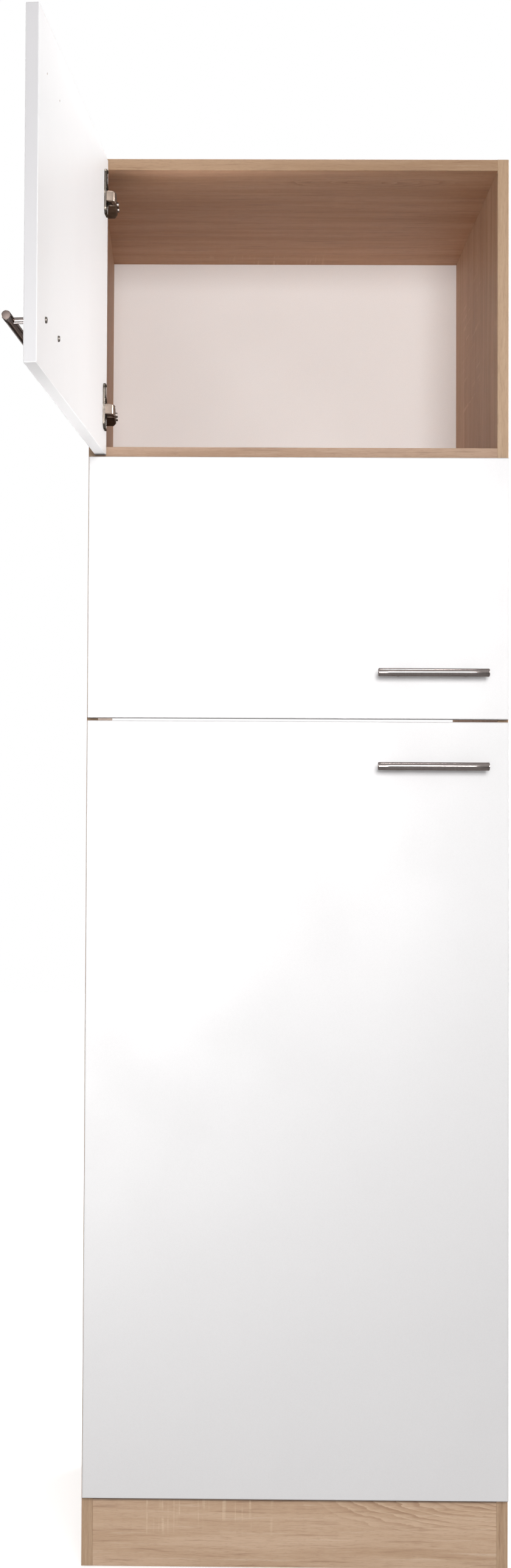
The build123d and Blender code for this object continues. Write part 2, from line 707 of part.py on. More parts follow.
def handle_post(x, z):
    """Round post from the door's face to the bar, saddled round it."""
    post = rod((x, DOOR_OUTSIDE, z), (0, -1, 0), POST_RADIUS, DOOR_OUTSIDE - BAR_Y)
    bar = rod((BAR_X - BAR_LENGTH / 2, BAR_Y, z), (1, 0, 0), BAR_RADIUS, BAR_LENGTH)
    thread = rod(
        (x, DOOR_OUTSIDE, z), (0, -1, 0), HANDLE_SCREW_RADIUS, HANDLE_SCREW_ENGAGEMENT
    )
    return post - bar - thread


def handle_screw(x, z):
    """Machine screw from inside the door into the post."""
    shank = rod(
        (x, DOOR_INSIDE, z),
        (0, -1, 0),
        HANDLE_SCREW_RADIUS,
        DOOR_THICKNESS + HANDLE_SCREW_ENGAGEMENT,
    )
    head = rod((x, DOOR_INSIDE, z), (0, 1, 0), HANDLE_HEAD_RADIUS, HANDLE_HEAD_HEIGHT)
    head = fillet(head.edges().sort_by(Axis.Y)[-1], HANDLE_HEAD_ROUND)
    face = (x, DOOR_INSIDE + HANDLE_HEAD_HEIGHT, z)
    return shank + head - cross_recess(face, (0, -1, 0), CROSS_LENGTH)


def swung(shape, is_open):
    """A door's piece in its place: closed, or carried out by the open hinge."""
    if not is_open:
        return shape
    arm_axis = Axis((*ARM_PIN, 0), (0, 0, 1))
    turned = shape.rotate(Axis((*CUP_PIN, 0), (0, 0, 1)), -OPEN_ANGLE - LINK_TURN)
    return turned.rotate(arm_axis, LINK_TURN)


def linked(shape, is_open):
    """A link in its place: folded into the cup, or swung out."""
    if not is_open:
        return shape
    return shape.rotate(Axis((*ARM_PIN, 0), (0, 0, 1)), LINK_TURN)


def door_nodes(name, is_open):
    """One door with its handle and the hinge pieces that move with it."""
    bottom, height, hinges, handle_z = DOORS[name]
    panel = door_panel(bottom, height, hinges, handle_z)
    if name == "top":
        panel = panel - pilot_marks()
    cup_screws = [countersunk_screw(place, (0, -1, 0)) for place in cup_screw_places()]
    moving = {
        f"{name}_door_panel": [panel],
        f"{name}_handle_bar": [handle_bar(handle_z)],
        f"{name}_handle_posts": [handle_post(x, handle_z) for x in handle_post_places()],
        f"{name}_handle_screws": [handle_screw(x, handle_z) for x in handle_post_places()],
        f"{name}_hinge_cups": raised([hinge_cup()], hinges),
        f"{name}_hinge_cup_pins": raised([cup_pin()], hinges),
        f"{name}_hinge_cup_screws": raised(cup_screws, hinges),
    }
    nodes = {
        node: [swung(shape, is_open) for shape in shapes] for node, shapes in moving.items()
    }
    links = raised([hinge_link()], hinges)
    nodes[f"{name}_hinge_links"] = [linked(shape, is_open) for shape in links]
    return nodes


def write_node(name, shapes):
    """Write one named sub-part, of one or more separate solids."""
    group = shapes if isinstance(shapes, list) else [shapes]
    solids = [solid for shape in group for solid in shape.solids()]
    model = solids[0] if len(solids) == 1 else Compound(children=solids)
    export_step(model, f"parts/{name}.step")


def build_unit():
    """Every node of the unit, with the top door open as it rests."""
    nodes = carcass_nodes()
    nodes.update(hinge_arm_nodes())
    nodes.update(door_nodes("top", True))
    nodes.update(door_nodes("middle", False))
    nodes.update(door_nodes("bottom", False))
    return nodes


os.makedirs("parts", exist_ok=True)
for node_name, node_shapes in build_unit().items():
    write_node(node_name, node_shapes)
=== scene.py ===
"""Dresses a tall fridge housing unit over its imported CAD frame.

Lengths are in metres and share the frame's axes: X runs across the width, Y from the front to the
back and Z up. Doors are described as they hang closed; the upper door, which stands open, is
carried out by the same turns as its hinges make.
"""

import logging
import math
from dataclasses import dataclass
from enum import Enum
from typing import Any, Optional, Sequence, Union

import bmesh
import bpy
import numpy as np
from mathutils import Matrix, Vector


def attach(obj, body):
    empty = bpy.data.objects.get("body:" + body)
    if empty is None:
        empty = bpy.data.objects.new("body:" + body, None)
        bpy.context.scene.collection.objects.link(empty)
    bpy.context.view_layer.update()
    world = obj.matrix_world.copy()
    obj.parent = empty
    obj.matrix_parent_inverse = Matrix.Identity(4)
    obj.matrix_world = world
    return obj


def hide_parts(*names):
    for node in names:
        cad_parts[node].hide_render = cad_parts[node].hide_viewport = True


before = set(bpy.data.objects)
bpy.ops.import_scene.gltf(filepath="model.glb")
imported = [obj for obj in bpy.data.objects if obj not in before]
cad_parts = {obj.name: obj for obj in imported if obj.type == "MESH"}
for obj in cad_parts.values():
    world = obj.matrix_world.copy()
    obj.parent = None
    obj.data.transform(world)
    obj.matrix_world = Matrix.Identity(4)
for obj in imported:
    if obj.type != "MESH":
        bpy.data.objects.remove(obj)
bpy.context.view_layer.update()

LOG = logging.getLogger("housing_unit")
MM = 0.001
CRISP_FOLD = 35.0

Feed = Union[float, Sequence[float], bpy.types.NodeSocket]
Colour = tuple[float, float, float, float]


def tint(red: float, green: float, blue: float) -> Colour:
    """Linear colour of a screen colour.

    Args:
        red: Screen red from 0 to 255.
        green: Screen green from 0 to 255.
        blue: Screen blue from 0 to 255.

    Returns:
        Linear red, green, blue and an alpha of one.
    """
    screen = np.array([red, green, blue], float) / 255.0
    linear = np.where(screen <= 0.04045, screen / 12.92, ((screen + 0.055) / 1.055) ** 2.4)
    return (float(linear[0]), float(linear[1]), float(linear[2]), 1.0)


# ---------------------------------------------------------------- surfaces worked out with numpy


@dataclass
class Patch:
    """Points and faces of one closed or open surface."""

    points: np.ndarray
    faces: list[tuple[int, ...]]

    def moved(self, turn: np.ndarray, shift: np.ndarray) -> "Patch":
        """The patch after p becomes turn times p plus shift."""
        return Patch(self.points @ turn.T + shift, self.faces)


def grid_patch(points: np.ndarray, tube: bool = True) -> Patch:
    """Surface through a grid of points.

    Args:
        points: Array of rows, columns and three coordinates.
        tube: Whether the last column joins the first one and the end rows get a flat lid each.

    Returns:
        A patch of quads whose corner (i, j) has the number i times columns plus j.
    """
    rows, columns = points.shape[:2]
    i = np.arange(rows - 1)[:, None]
    j = np.arange(columns if tube else columns - 1)[None, :]
    i_next, j_next = i + 1, (j + 1) % columns
    corners = [i * columns + j, i * columns + j_next, i_next * columns + j_next, i_next * columns + j]
    quads = np.stack([np.broadcast_to(c, (i.size, j.size)) for c in corners], axis=-1).reshape(-1, 4)
    faces: list[tuple[int, ...]] = [tuple(quad) for quad in quads.tolist()]
    if tube:
        faces.append(tuple(range(columns))[::-1])
        faces.append(tuple((rows - 1) * columns + k for k in range(columns)))
    return Patch(points.reshape(-1, 3), faces)


def lathe(profile: np.ndarray, start: Sequence[float], axis: int, segments: int) -> Patch:
    """Solid of revolution about a line along one of the axes.

    A point of the surface lies at start plus the profile's place along the axis, and away from the
    axis by the profile's radius times the cosine and the sine of the turn.

    Args:
        profile: Pairs of place along the axis and radius, from one end to the other.
        start: Point that the places are counted from.
        axis: 0, 1 or 2 for a line along X, Y or Z.
        segments: Number of steps round.

    Returns:
        A closed patch with a flat lid at each end.
    """
    turn = np.linspace(0.0, 2.0 * np.pi, segments, endpoint=False)
    first, second = (axis + 1) % 3, (axis + 2) % 3
    points = np.zeros((len(profile), segments, 3))
    points[..., axis] = profile[:, 0][:, None]
    points[..., first] = profile[:, 1][:, None] * np.cos(turn)[None, :]
    points[..., second] = profile[:, 1][:, None] * np.sin(turn)[None, :]
    return grid_patch(points + np.asarray(start, float))


def sweep(path: np.ndarray, inward: np.ndarray, profile: np.ndarray, lift: np.ndarray) -> Patch:
    """Profile carried along a path.

    A point of the surface is the path's point, plus the inward direction times the profile's first
    value, plus the way out of the face times its second value held below the lift at that place.

    Args:
        path: Points along the way, one row each.
        inward: Direction across the path at each point.
        profile: Pairs of distance inwards and height, round the closed section.
        lift: Highest height allowed at each point of the path.

    Returns:
        A closed patch with a flat lid at each end.
    """
    height = np.minimum(profile[None, :, 1], lift[:, None])
    points = path[:, None, :] + inward[:, None, :] * profile[None, :, 0][..., None]
    points[..., 1] += height
    return grid_patch(points)


def channel_section(start: float, reach: float, half: float, sheet: float, bend: float) -> np.ndarray:
    """Closed outline of a U folded from sheet.

    The outer corners are quarter circles of the bend radius, the inner ones quarter circles about
    the same centres, a sheet's thickness smaller.

    Args:
        start: Depth of the two free edges.
        reach: Depth of the web's outer face.
        half: Half of the height outside.
        sheet: Thickness of the sheet.
        bend: Outer radius of the folds.

    Returns:
        Pairs of depth and height, round the outline.
    """
    turn = np.linspace(-np.pi / 2, 0.0, 7)
    around = np.stack([np.cos(turn), np.sin(turn)], axis=1)
    centre = np.array([reach - bend, bend - half])
    outer, inner = centre + bend * around, centre + (bend - sheet) * around
    flip = np.array([1.0, -1.0])
    ends = np.array([[start, -half], [start, half], [start, half - sheet], [start, sheet - half]])
    return np.concatenate([
        ends[:1], outer, outer[::-1] * flip, ends[1:3], inner * flip, inner[::-1], ends[3:]
    ])


def fold(spine: np.ndarray, outward_way: np.ndarray, section: np.ndarray, share: np.ndarray) -> Patch:
    """Folded channel carried along a level line.

    A point of the surface is the spine's point, plus the outward direction times the section's
    depth times the share at that place, plus the section's height straight up.

    Args:
        spine: Points along the channel, one row each.
        outward_way: Direction of growing depth at each point.
        section: Pairs of depth and height, round the closed section.
        share: Part of the full depth at each point.

    Returns:
        A closed patch.
    """
    depth = share[:, None, None] * section[None, :, 0, None]
    points = spine[:, None, :] + outward_way[:, None, :] * depth
    points[..., 2] += section[None, :, 1]
    return grid_patch(points)


def slot_plate(
    start: np.ndarray, end: np.ndarray, half_width: float, low: float, high: float, ease: float
) -> Patch:
    """Level plate with round ends and eased edges.

    Its outline is a half circle about each end point, joined by straight sides. The rings at the
    faces have a half width that is smaller by the ease.

    Args:
        start: Centre of one round end, in plan.
        end: Centre of the other round end, in plan.
        half_width: Radius of the ends.
        low: Height of the lower face.
        high: Height of the upper face.
        ease: How far the edges are eased.

    Returns:
        A closed patch.
    """
    way = (end - start) / np.linalg.norm(end - start)
    side = np.array([-way[1], way[0]])
    turn = np.linspace(-np.pi / 2, np.pi / 2, 13)
    half_turn = np.cos(turn)[:, None] * way + np.sin(turn)[:, None] * side
    radii = np.array([half_width - ease, half_width, half_width, half_width - ease])
    heights = np.array([low, low + ease, high - ease, high])
    points = np.zeros((4, 26, 3))
    points[:, :13, :2] = end + radii[:, None, None] * half_turn[None]
    points[:, 13:, :2] = start - radii[:, None, None] * half_turn[None]
    points[..., 2] = heights[:, None]
    return grid_patch(points)


def eased_bar(low: Sequence[float], high: Sequence[float], ease: float) -> Patch:
    """Small bar along X with rounded long edges.

    Its section in Y and Z is a rectangle whose corners are quarter circles of the ease.

    Args:
        low: Lowest corner.
        high: Highest corner.
        ease: Radius of the long edges.

    Returns:
        A closed patch.
    """
    turn = np.linspace(0.0, np.pi / 2, 5)
    quarter = [turn + k * np.pi / 2 for k in range(4)]
    signs = [(1, 1), (-1, 1), (-1, -1), (1, -1)]
    middle = (np.asarray(low) + np.asarray(high)) / 2
    half = (np.asarray(high) - np.asarray(low)) / 2
    section = np.concatenate([
        np.array(sign) * (half[1:] - ease) + ease * np.stack([np.cos(t), np.sin(t)], axis=1)
        for t, sign in zip(quarter, signs)
    ])
    shrink = np.array([1.0 - ease / half[1], 1.0, 1.0, 1.0 - ease / half[1]])
    along = np.array([low[0], low[0] + ease, high[0] - ease, high[0]])
    points = np.zeros((4, len(section), 3))
    points[..., 0] = along[:, None]
    points[..., 1:] = middle[1:] + shrink[:, None, None] * section[None]
    return grid_patch(points)


def make_piece(name: str, patches: Sequence[Patch], body: str) -> bpy.types.Object:
    """Mesh object from several patches, riding on a body of the frame.

    Edges that fold by more than CRISP_FOLD degrees stay crisp.

    Args:
        name: Name of the piece.
        patches: Surfaces that belong to the piece.
        body: Body that the piece moves with.

    Returns:
        The object, with its place in its mesh.
    """
    faces: list[tuple[int, ...]] = []
    count = 0
    for patch in patches:
        faces += [tuple(corner + count for corner in face) for face in patch.faces]
        count += len(patch.points)
    mesh = bpy.data.meshes.new(name)
    mesh.from_pydata(np.concatenate([patch.points for patch in patches]), [], faces)
    mesh.polygons.foreach_set("use_smooth", np.ones(len(mesh.polygons), bool))
    outward(mesh)
    mesh.set_sharp_from_angle(angle=math.radians(CRISP_FOLD))
    mesh.update()
    piece = bpy.data.objects.new(name, mesh)
    bpy.context.scene.collection.objects.link(piece)
    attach(piece, body)
    LOG.info("made %s: %d faces on %s", name, len(mesh.polygons), body)
    return piece


def outward(mesh: bpy.types.Mesh) -> None:
    """Turns every face of a mesh outwards."""
    work = bmesh.new()
    work.from_mesh(mesh)
    bmesh.ops.recalc_face_normals(work, faces=work.faces)
    work.to_mesh(mesh)
    work.free()


# ---------------------------------------------------------------------------- how the doors hang


@dataclass(frozen=True)
class HingeTravel:
    """The two turns that carry a closed door out to where it stands open."""

    arm_pin: tuple[float, float] = (-265.0 * MM, -8.0 * MM)
    cup_pin: tuple[float, float] = (-286.66 * MM, -12.98 * MM)
    link_turn: float = 38.9
    open_angle: float = 95.6

    def rotation(self, degrees: float) -> np.ndarray:
        """Turn about Z by an angle in degrees."""
        return np.array(Matrix.Rotation(math.radians(degrees), 3, "Z"))

    def door(self) -> tuple[np.ndarray, np.ndarray]:
        """Carries a closed door's points to the open door.

        Returns:
            The turn, and the shift after it.
        """
        arm, cup = np.array([*self.arm_pin, 0.0]), np.array([*self.cup_pin, 0.0])
        turn = self.rotation(-self.open_angle)
        link = self.rotation(self.link_turn)
        return turn, arm + link @ (cup - arm) - turn @ cup

    def link(self) -> tuple[np.ndarray, np.ndarray]:
        """Carries a folded link's points to the open hinge.

        Returns:
            The turn, and the shift after it.
        """
        arm = np.array([*self.arm_pin, 0.0])
        turn = self.rotation(self.link_turn)
        return turn, arm - turn @ arm


TRAVEL = HingeTravel()


class Pose(Enum):
    """How a door rests, and with it the coordinates that its patterns need."""

    CLOSED = "closed"
    DOOR_OPEN = "door_open"
    LINK_OPEN = "link_open"

    @property
    def way(self) -> tuple[np.ndarray, np.ndarray]:
        """Turn and shift of a pose that isn't closed."""
        return TRAVEL.door() if self is Pose.DOOR_OPEN else TRAVEL.link()

    def carry(self, patch: Patch) -> Patch:
        """A patch drawn closed, carried to where it rests."""
        return patch if self is Pose.CLOSED else patch.moved(*self.way)


# ------------------------------------------------------------------------------- shader workbench


class Bench:
    """Adds shader nodes to one tree and wires them."""

    def __init__(self, tree: bpy.types.NodeTree) -> None:
        """Takes the tree that the nodes go into."""
        self.tree = tree

    def plug(self, socket: bpy.types.NodeSocket, feed: Feed) -> None:
        """Links a socket to another one, or sets its value.

        Args:
            socket: Input to feed.
            feed: Output that feeds it, or its value.
        """
        if isinstance(feed, bpy.types.NodeSocket):
            self.tree.links.new(feed, socket)
        else:
            socket.default_value = feed

    def node(self, kind: str, feeds: Optional[dict[Any, Feed]] = None, **settings: Any) -> bpy.types.Node:
        """Adds a node.

        Args:
            kind: Type of the node without its ShaderNode prefix.
            feeds: What goes into its sockets, by name or number.
            **settings: Properties of the node itself.

        Returns:
            The new node.
        """
        node = self.tree.nodes.new("ShaderNode" + kind)
        for name, value in settings.items():
            setattr(node, name, value)
        for key, feed in (feeds or {}).items():
            self.plug(node.inputs[key], feed)
        return node

    def math(self, operation: str, a: Feed, b: Feed = 0.0) -> bpy.types.NodeSocket:
        """One sum on two numbers."""
        return self.node("Math", {0: a, 1: b}, operation=operation).outputs[0]

    def times(self, a: Feed, b: Feed) -> bpy.types.NodeSocket:
        """The product of two numbers."""
        return self.math("MULTIPLY", a, b)

    def plus(self, a: Feed, b: Feed) -> bpy.types.NodeSocket:
        """The sum of two numbers."""
        return self.math("ADD", a, b)

    def less(self, a: Feed, b: Feed) -> bpy.types.NodeSocket:
        """The first number less the second one."""
        return self.math("SUBTRACT", a, b)

    def gap(self, a: Feed, b: Feed) -> bpy.types.NodeSocket:
        """How far two numbers are apart."""
        return self.math("ABSOLUTE", self.less(a, b))

    def parts(self, vector: Feed) -> tuple[bpy.types.NodeSocket, ...]:
        """The three values of a vector."""
        return tuple(self.node("SeparateXYZ", {0: vector}).outputs)

    def join(self, x: Feed, y: Feed, z: Feed) -> bpy.types.NodeSocket:
        """A vector from three values."""
        return self.node("CombineXYZ", {0: x, 1: y, 2: z}).outputs[0]

    def stretch(self, vector: Feed, scale: Sequence[float]) -> bpy.types.NodeSocket:
        """A vector with each value multiplied by its own number."""
        return self.node("VectorMath", {0: vector, 1: scale}, operation="MULTIPLY").outputs[0]

    def noise(
        self, vector: Feed, grains: Sequence[float], detail: float, rough: float = 0.5
    ) -> bpy.types.NodeSocket:
        """Soft noise centred on a half, with so many grains to the metre along each axis."""
        feeds = {"Vector": self.stretch(vector, grains), "Scale": 1.0, "Detail": detail, "Roughness": rough}
        return self.node("TexNoise", feeds).outputs[0]

    def ramp(
        self, value: Feed, low: float, high: float, start: float = 0.0, end: float = 1.0
    ) -> bpy.types.NodeSocket:
        """A value eased from start to end while it goes from low to high."""
        feeds = {0: value, 1: low, 2: high, 3: start, 4: end}
        return self.node("MapRange", feeds, interpolation_type="SMOOTHSTEP").outputs[0]

    def mix(self, amount: Feed, a: Feed, b: Feed, way: str = "MIX") -> bpy.types.NodeSocket:
        """Two colours mixed."""
        return self.node("Mix", {0: amount, 6: a, 7: b}, data_type="RGBA", blend_type=way).outputs[2]

    def pulse(self, value: Feed, centre: float, width: float) -> bpy.types.NodeSocket:
        """One at the centre and nothing a width away from it."""
        return self.ramp(self.gap(value, centre), 0.0, width, 1.0, 0.0)

    def streaks(
        self, colour: Feed, layers: Sequence[tuple[Feed, float, float, float, Colour]]
    ) -> bpy.types.NodeSocket:
        """Lays thin colours over a colour.

        Args:
            colour: Colour underneath.
            layers: For each layer the value that shows it, where it starts and where it is full,
                its greatest share and its colour.

        Returns:
            The layered colour.
        """
        for value, low, high, share, over in layers:
            colour = self.mix(self.ramp(value, low, high, 0.0, share), colour, over)
        return colour

    def use(self, group: bpy.types.NodeTree, feeds: dict[Any, Feed]) -> bpy.types.Node:
        """Places a shared node group.

        Args:
            group: Tree of the group.
            feeds: What goes into its inputs, by name.

        Returns:
            The node that holds the group.
        """
        node = self.tree.nodes.new("ShaderNodeGroup")
        node.node_tree = group
        for key, feed in feeds.items():
            self.plug(node.inputs[key], feed)
        return node


class SocketKind(Enum):
    """Kinds of socket on a shared node group."""

    VALUE = "NodeSocketFloat"
    VECTOR = "NodeSocketVector"
    COLOUR = "NodeSocketColor"


class SharedGroup:
    """A shader effect that several materials use, built once."""

    name = "shared"
    inputs: dict[str, tuple[SocketKind, Any]] = {}
    outputs: dict[str, SocketKind] = {}
    _built: dict[str, bpy.types.NodeTree] = {}

    @classmethod
    def tree(cls) -> bpy.types.NodeTree:
        """Builds the group at the first call.

        Returns:
            The group's node tree.
        """
        if cls.name not in SharedGroup._built:
            made = bpy.data.node_groups.new(cls.name, "ShaderNodeTree")
            for name, (kind, value) in cls.inputs.items():
                socket = made.interface.new_socket(name=name, in_out="INPUT", socket_type=kind.value)
                if kind is not SocketKind.VECTOR:
                    socket.default_value = value
            for name, kind in cls.outputs.items():
                made.interface.new_socket(name=name, in_out="OUTPUT", socket_type=kind.value)
            entry = made.nodes.new("NodeGroupInput")
            leave = made.nodes.new("NodeGroupOutput")
            bench = Bench(made)
            for name, socket in cls.wire(bench, entry).items():
                made.links.new(socket, leave.inputs[name])
            SharedGroup._built[cls.name] = made
        return SharedGroup._built[cls.name]

    @classmethod
    def wire(cls, bench: Bench, entry: bpy.types.Node) -> dict[str, bpy.types.NodeSocket]:
        """Builds the effect's nodes.

        Args:
            bench: Workbench on the group's tree.
            entry: Node with the group's inputs.

        Returns:
            What goes to each output.
        """
        raise NotImplementedError


class OakFigure(SharedGroup):
    """Printed rough-sawn oak: bands, fibres, pores, arches of growth rings and pale saw flecks.

    The vector's first value runs along the grain and the second across it, in metres. The seed
    gives each board its own figure. The fleck and arch inputs hold the middle of their patch along
    and across the grain, and how far it reaches.
    """

    name = "oak_figure"
    inputs = {
        "Vector": (SocketKind.VECTOR, None),
        "Seed": (SocketKind.VALUE, 0.0),
        "Fleck Place": (SocketKind.VALUE, 0.0),
        "Fleck Across": (SocketKind.VALUE, 0.0),
        "Fleck Reach": (SocketKind.VALUE, 0.12),
        "Fleck Tall": (SocketKind.VALUE, 0.04),
        "Arch Place": (SocketKind.VALUE, 0.2),
        "Arch Across": (SocketKind.VALUE, 0.0),
        "Arch Reach": (SocketKind.VALUE, 0.03),
    }
    outputs = {"Color": SocketKind.COLOUR, "Height": SocketKind.VALUE, "Dull": SocketKind.VALUE}

    light_band, dark_band = tint(202, 173, 148), tint(186, 155, 128)
    pale_streak, dark_streak = tint(214, 191, 169), tint(154, 121, 97)
    pale_fibre, dark_fibre = tint(216, 195, 173), tint(150, 116, 93)
    open_pore = tint(132, 100, 80)
    early_wood, late_wood = tint(216, 191, 164), tint(152, 117, 91)
    saw_mark = tint(226, 203, 176)
    sway_width, ripple_width, wobble_width = 12.0 * MM, 5.5 * MM, 13.0 * MM
    arch_flatness = 0.20
    ring_spacing = 5.6 * MM
    ring_shuffle = 7.31

    @classmethod
    def wire(cls, bench: Bench, entry: bpy.types.Node) -> dict[str, bpy.types.NodeSocket]:
        """Builds the oak from a bent grain, with the arches and the flecks laid over it.

        Args:
            bench: Workbench on the group's tree.
            entry: Node with the group's inputs.

        Returns:
            The colour, the relief's height and a mask of dull places.
        """
        along, across, _ = bench.parts(entry.outputs["Vector"])
        seed = entry.outputs["Seed"]
        flat = bench.join(along, across, seed)
        sway = bench.noise(flat, (3.0, 9.0, 1.0), 2.0)
        ripple = bench.noise(flat, (13.0, 48.0, 1.0), 3.0)
        bent = bench.plus(across, bench.times(sway, cls.sway_width))
        bent = bench.plus(bent, bench.times(ripple, cls.ripple_width))
        grain = bench.join(along, bent, seed)

        band = bench.noise(grain, (2.2, 40.0, 1.0), 2.0, 0.55)
        streak = bench.noise(grain, (9.0, 210.0, 3.0), 3.0, 0.62)
        fibre = bench.noise(grain, (48.0, 1100.0, 5.0), 2.0, 0.6)
        pore = bench.noise(grain, (110.0, 1900.0, 7.0), 1.0)
        colour = bench.mix(bench.ramp(band, 0.30, 0.70), cls.light_band, cls.dark_band)
        colour = bench.streaks(colour, (
            (streak, 0.54, 0.74, 0.55, cls.pale_streak), (streak, 0.46, 0.28, 0.62, cls.dark_streak),
            (fibre, 0.50, 0.30, 0.30, cls.dark_fibre), (fibre, 0.56, 0.76, 0.22, cls.pale_fibre),
        ))
        dark_pore = bench.ramp(pore, 0.63, 0.72, 0.0, 0.34)
        colour = bench.mix(dark_pore, colour, cls.open_pore)

        arches, mask = cls.arches(bench, entry, along, across, flat)
        late = bench.times(bench.ramp(arches, 0.55, 0.05, 0.0, 0.62), mask)
        early = bench.times(bench.ramp(arches, 0.62, 0.97, 0.0, 0.50), mask)
        colour = bench.mix(early, bench.mix(late, colour, cls.late_wood), cls.early_wood)
        colour = bench.mix(cls.flecks(bench, entry, along, across, flat), colour, cls.saw_mark)

        height = bench.less(bench.times(fibre, 0.5), bench.times(dark_pore, 1.2))
        height = bench.plus(height, bench.times(streak, 0.35))
        return {"Color": colour, "Height": height, "Dull": bench.ramp(streak, 0.3, 0.7)}

    @classmethod
    def arches(
        cls, bench: Bench, entry: bpy.types.Node, along: Feed, across: Feed, flat: Feed
    ) -> tuple[bpy.types.NodeSocket, bpy.types.NodeSocket]:
        """Growth rings cut at a slant: long ellipses about the arch's place, wobbled by noise.

        Args:
            bench: Workbench on the group's tree.
            entry: Node with the group's inputs.
            along: Way along the grain.
            across: Way across the grain.
            flat: Both, with the seed as the third value.

        Returns:
            Place within a ring from 0 to 1, and how strongly the ring shows.
        """
        arch_u = bench.less(along, entry.outputs["Arch Place"])
        arch_v = bench.less(across, entry.outputs["Arch Across"])
        arch = bench.join(bench.times(arch_u, cls.arch_flatness), arch_v, 0.0)
        ring = bench.node("VectorMath", {0: arch}, operation="LENGTH").outputs["Value"]
        wobble = bench.noise(flat, (12.0, 42.0, 1.0), 4.0, 0.6)
        turns = bench.plus(ring, bench.times(wobble, cls.wobble_width))
        turns = bench.math("DIVIDE", turns, cls.ring_spacing)
        ring_seed = bench.times(bench.math("FLOOR", turns), cls.ring_shuffle)
        strength = bench.join(ring_seed, bench.times(along, 9.0), entry.outputs["Seed"])
        strength = bench.noise(strength, (1.0, 1.0, 1.0), 1.0)
        near = bench.math("DIVIDE", ring, entry.outputs["Arch Reach"])
        mask = bench.times(bench.ramp(near, 1.0, 0.55), bench.ramp(strength, 0.32, 0.62, 0.15, 1.0))
        return bench.math("FRACT", turns), mask

    @classmethod
    def flecks(
        cls, bench: Bench, entry: bpy.types.Node, along: Feed, across: Feed, flat: Feed
    ) -> bpy.types.NodeSocket:
        """Short pale saw marks across the grain, in broken patches about the fleck's place.

        Args:
            bench: Workbench on the group's tree.
            entry: Node with the group's inputs.
            along: Way along the grain.
            across: Way across the grain.
            flat: Both, with the seed as the third value.

        Returns:
            How strongly the marks show.
        """
        off_along = bench.gap(along, entry.outputs["Fleck Place"])
        off_across = bench.gap(across, entry.outputs["Fleck Across"])
        off_along = bench.math("DIVIDE", off_along, entry.outputs["Fleck Reach"])
        off_across = bench.math("DIVIDE", off_across, entry.outputs["Fleck Tall"])
        area = bench.times(bench.ramp(off_along, 1.0, 0.6), bench.ramp(off_across, 1.0, 0.5))
        saw = bench.noise(flat, (175.0, 5.0, 1.0), 1.0)
        patch = bench.noise(flat, (60.0, 34.0, 2.0), 1.0)
        broken = bench.noise(flat, (60.0, 900.0, 4.0), 2.0)
        cut = bench.times(bench.ramp(saw, 0.57, 0.69), bench.ramp(patch, 0.38, 0.56))
        cut = bench.times(cut, bench.ramp(broken, 0.34, 0.60, 0.25, 1.0))
        return bench.times(bench.times(cut, area), 0.50)


class PressedChips(SharedGroup):
    """Raw chipboard, as on bored holes and unbanded edges."""

    name = "pressed_chips"
    inputs = {"Vector": (SocketKind.VECTOR, None)}
    outputs = {"Color": SocketKind.COLOUR, "Height": SocketKind.VALUE}

    light_chip, dark_chip, glue_dust = tint(196, 164, 124), tint(150, 116, 80), tint(112, 84, 58)

    @classmethod
    def wire(cls, bench: Bench, entry: bpy.types.Node) -> dict[str, bpy.types.NodeSocket]:
        """Builds flat chips from stretched cells, with fine dust between them.

        Args:
            bench: Workbench on the group's tree.
            entry: Node with the group's inputs.

        Returns:
            What goes to each output.
        """
        vector = entry.outputs["Vector"]
        cells = bench.stretch(vector, (260.0, 260.0, 420.0))
        chips = bench.node("TexVoronoi", {"Vector": cells, "Scale": 1.0})
        tone = bench.parts(chips.outputs["Color"])[0]
        dust = bench.noise(vector, (1500.0, 1500.0, 1500.0), 2.0)
        colour = bench.mix(tone, cls.light_chip, cls.dark_chip)
        colour = bench.streaks(colour, ((dust, 0.55, 0.75, 0.5, cls.glue_dust),))
        return {"Color": colour, "Height": bench.plus(tone, dust)}


class LacquerSkin(SharedGroup):
    """Skin of a smooth coated front: a slight orange peel and a very fine speckle."""

    name = "lacquer_skin"
    inputs = {"Vector": (SocketKind.VECTOR, None), "Base": (SocketKind.COLOUR, (0.8, 0.8, 0.8, 1.0))}
    outputs = {"Color": SocketKind.COLOUR, "Height": SocketKind.VALUE, "Dull": SocketKind.VALUE}

    dark_speck: Colour = (0.30, 0.30, 0.32, 1.0)
    grey_cloud: Colour = (0.55, 0.53, 0.52, 1.0)

    @classmethod
    def wire(cls, bench: Bench, entry: bpy.types.Node) -> dict[str, bpy.types.NodeSocket]:
        """Builds the peel from noise of a few millimetres and the speckle from finer noise.

        Args:
            bench: Workbench on the group's tree.
            entry: Node with the group's inputs.

        Returns:
            What goes to each output.
        """
        vector = entry.outputs["Vector"]
        peel = bench.noise(vector, (420.0, 420.0, 420.0), 2.0)
        speck = bench.noise(vector, (900.0, 900.0, 900.0), 1.0)
        cloud = bench.noise(vector, (5.0, 5.0, 5.0), 3.0)
        colour = bench.streaks(entry.outputs["Base"], (
            (speck, 0.35, 0.75, 0.055, cls.dark_speck), (cloud, 0.35, 0.75, 0.03, cls.grey_cloud),
        ))
        return {"Color": colour, "Height": peel, "Dull": cloud}


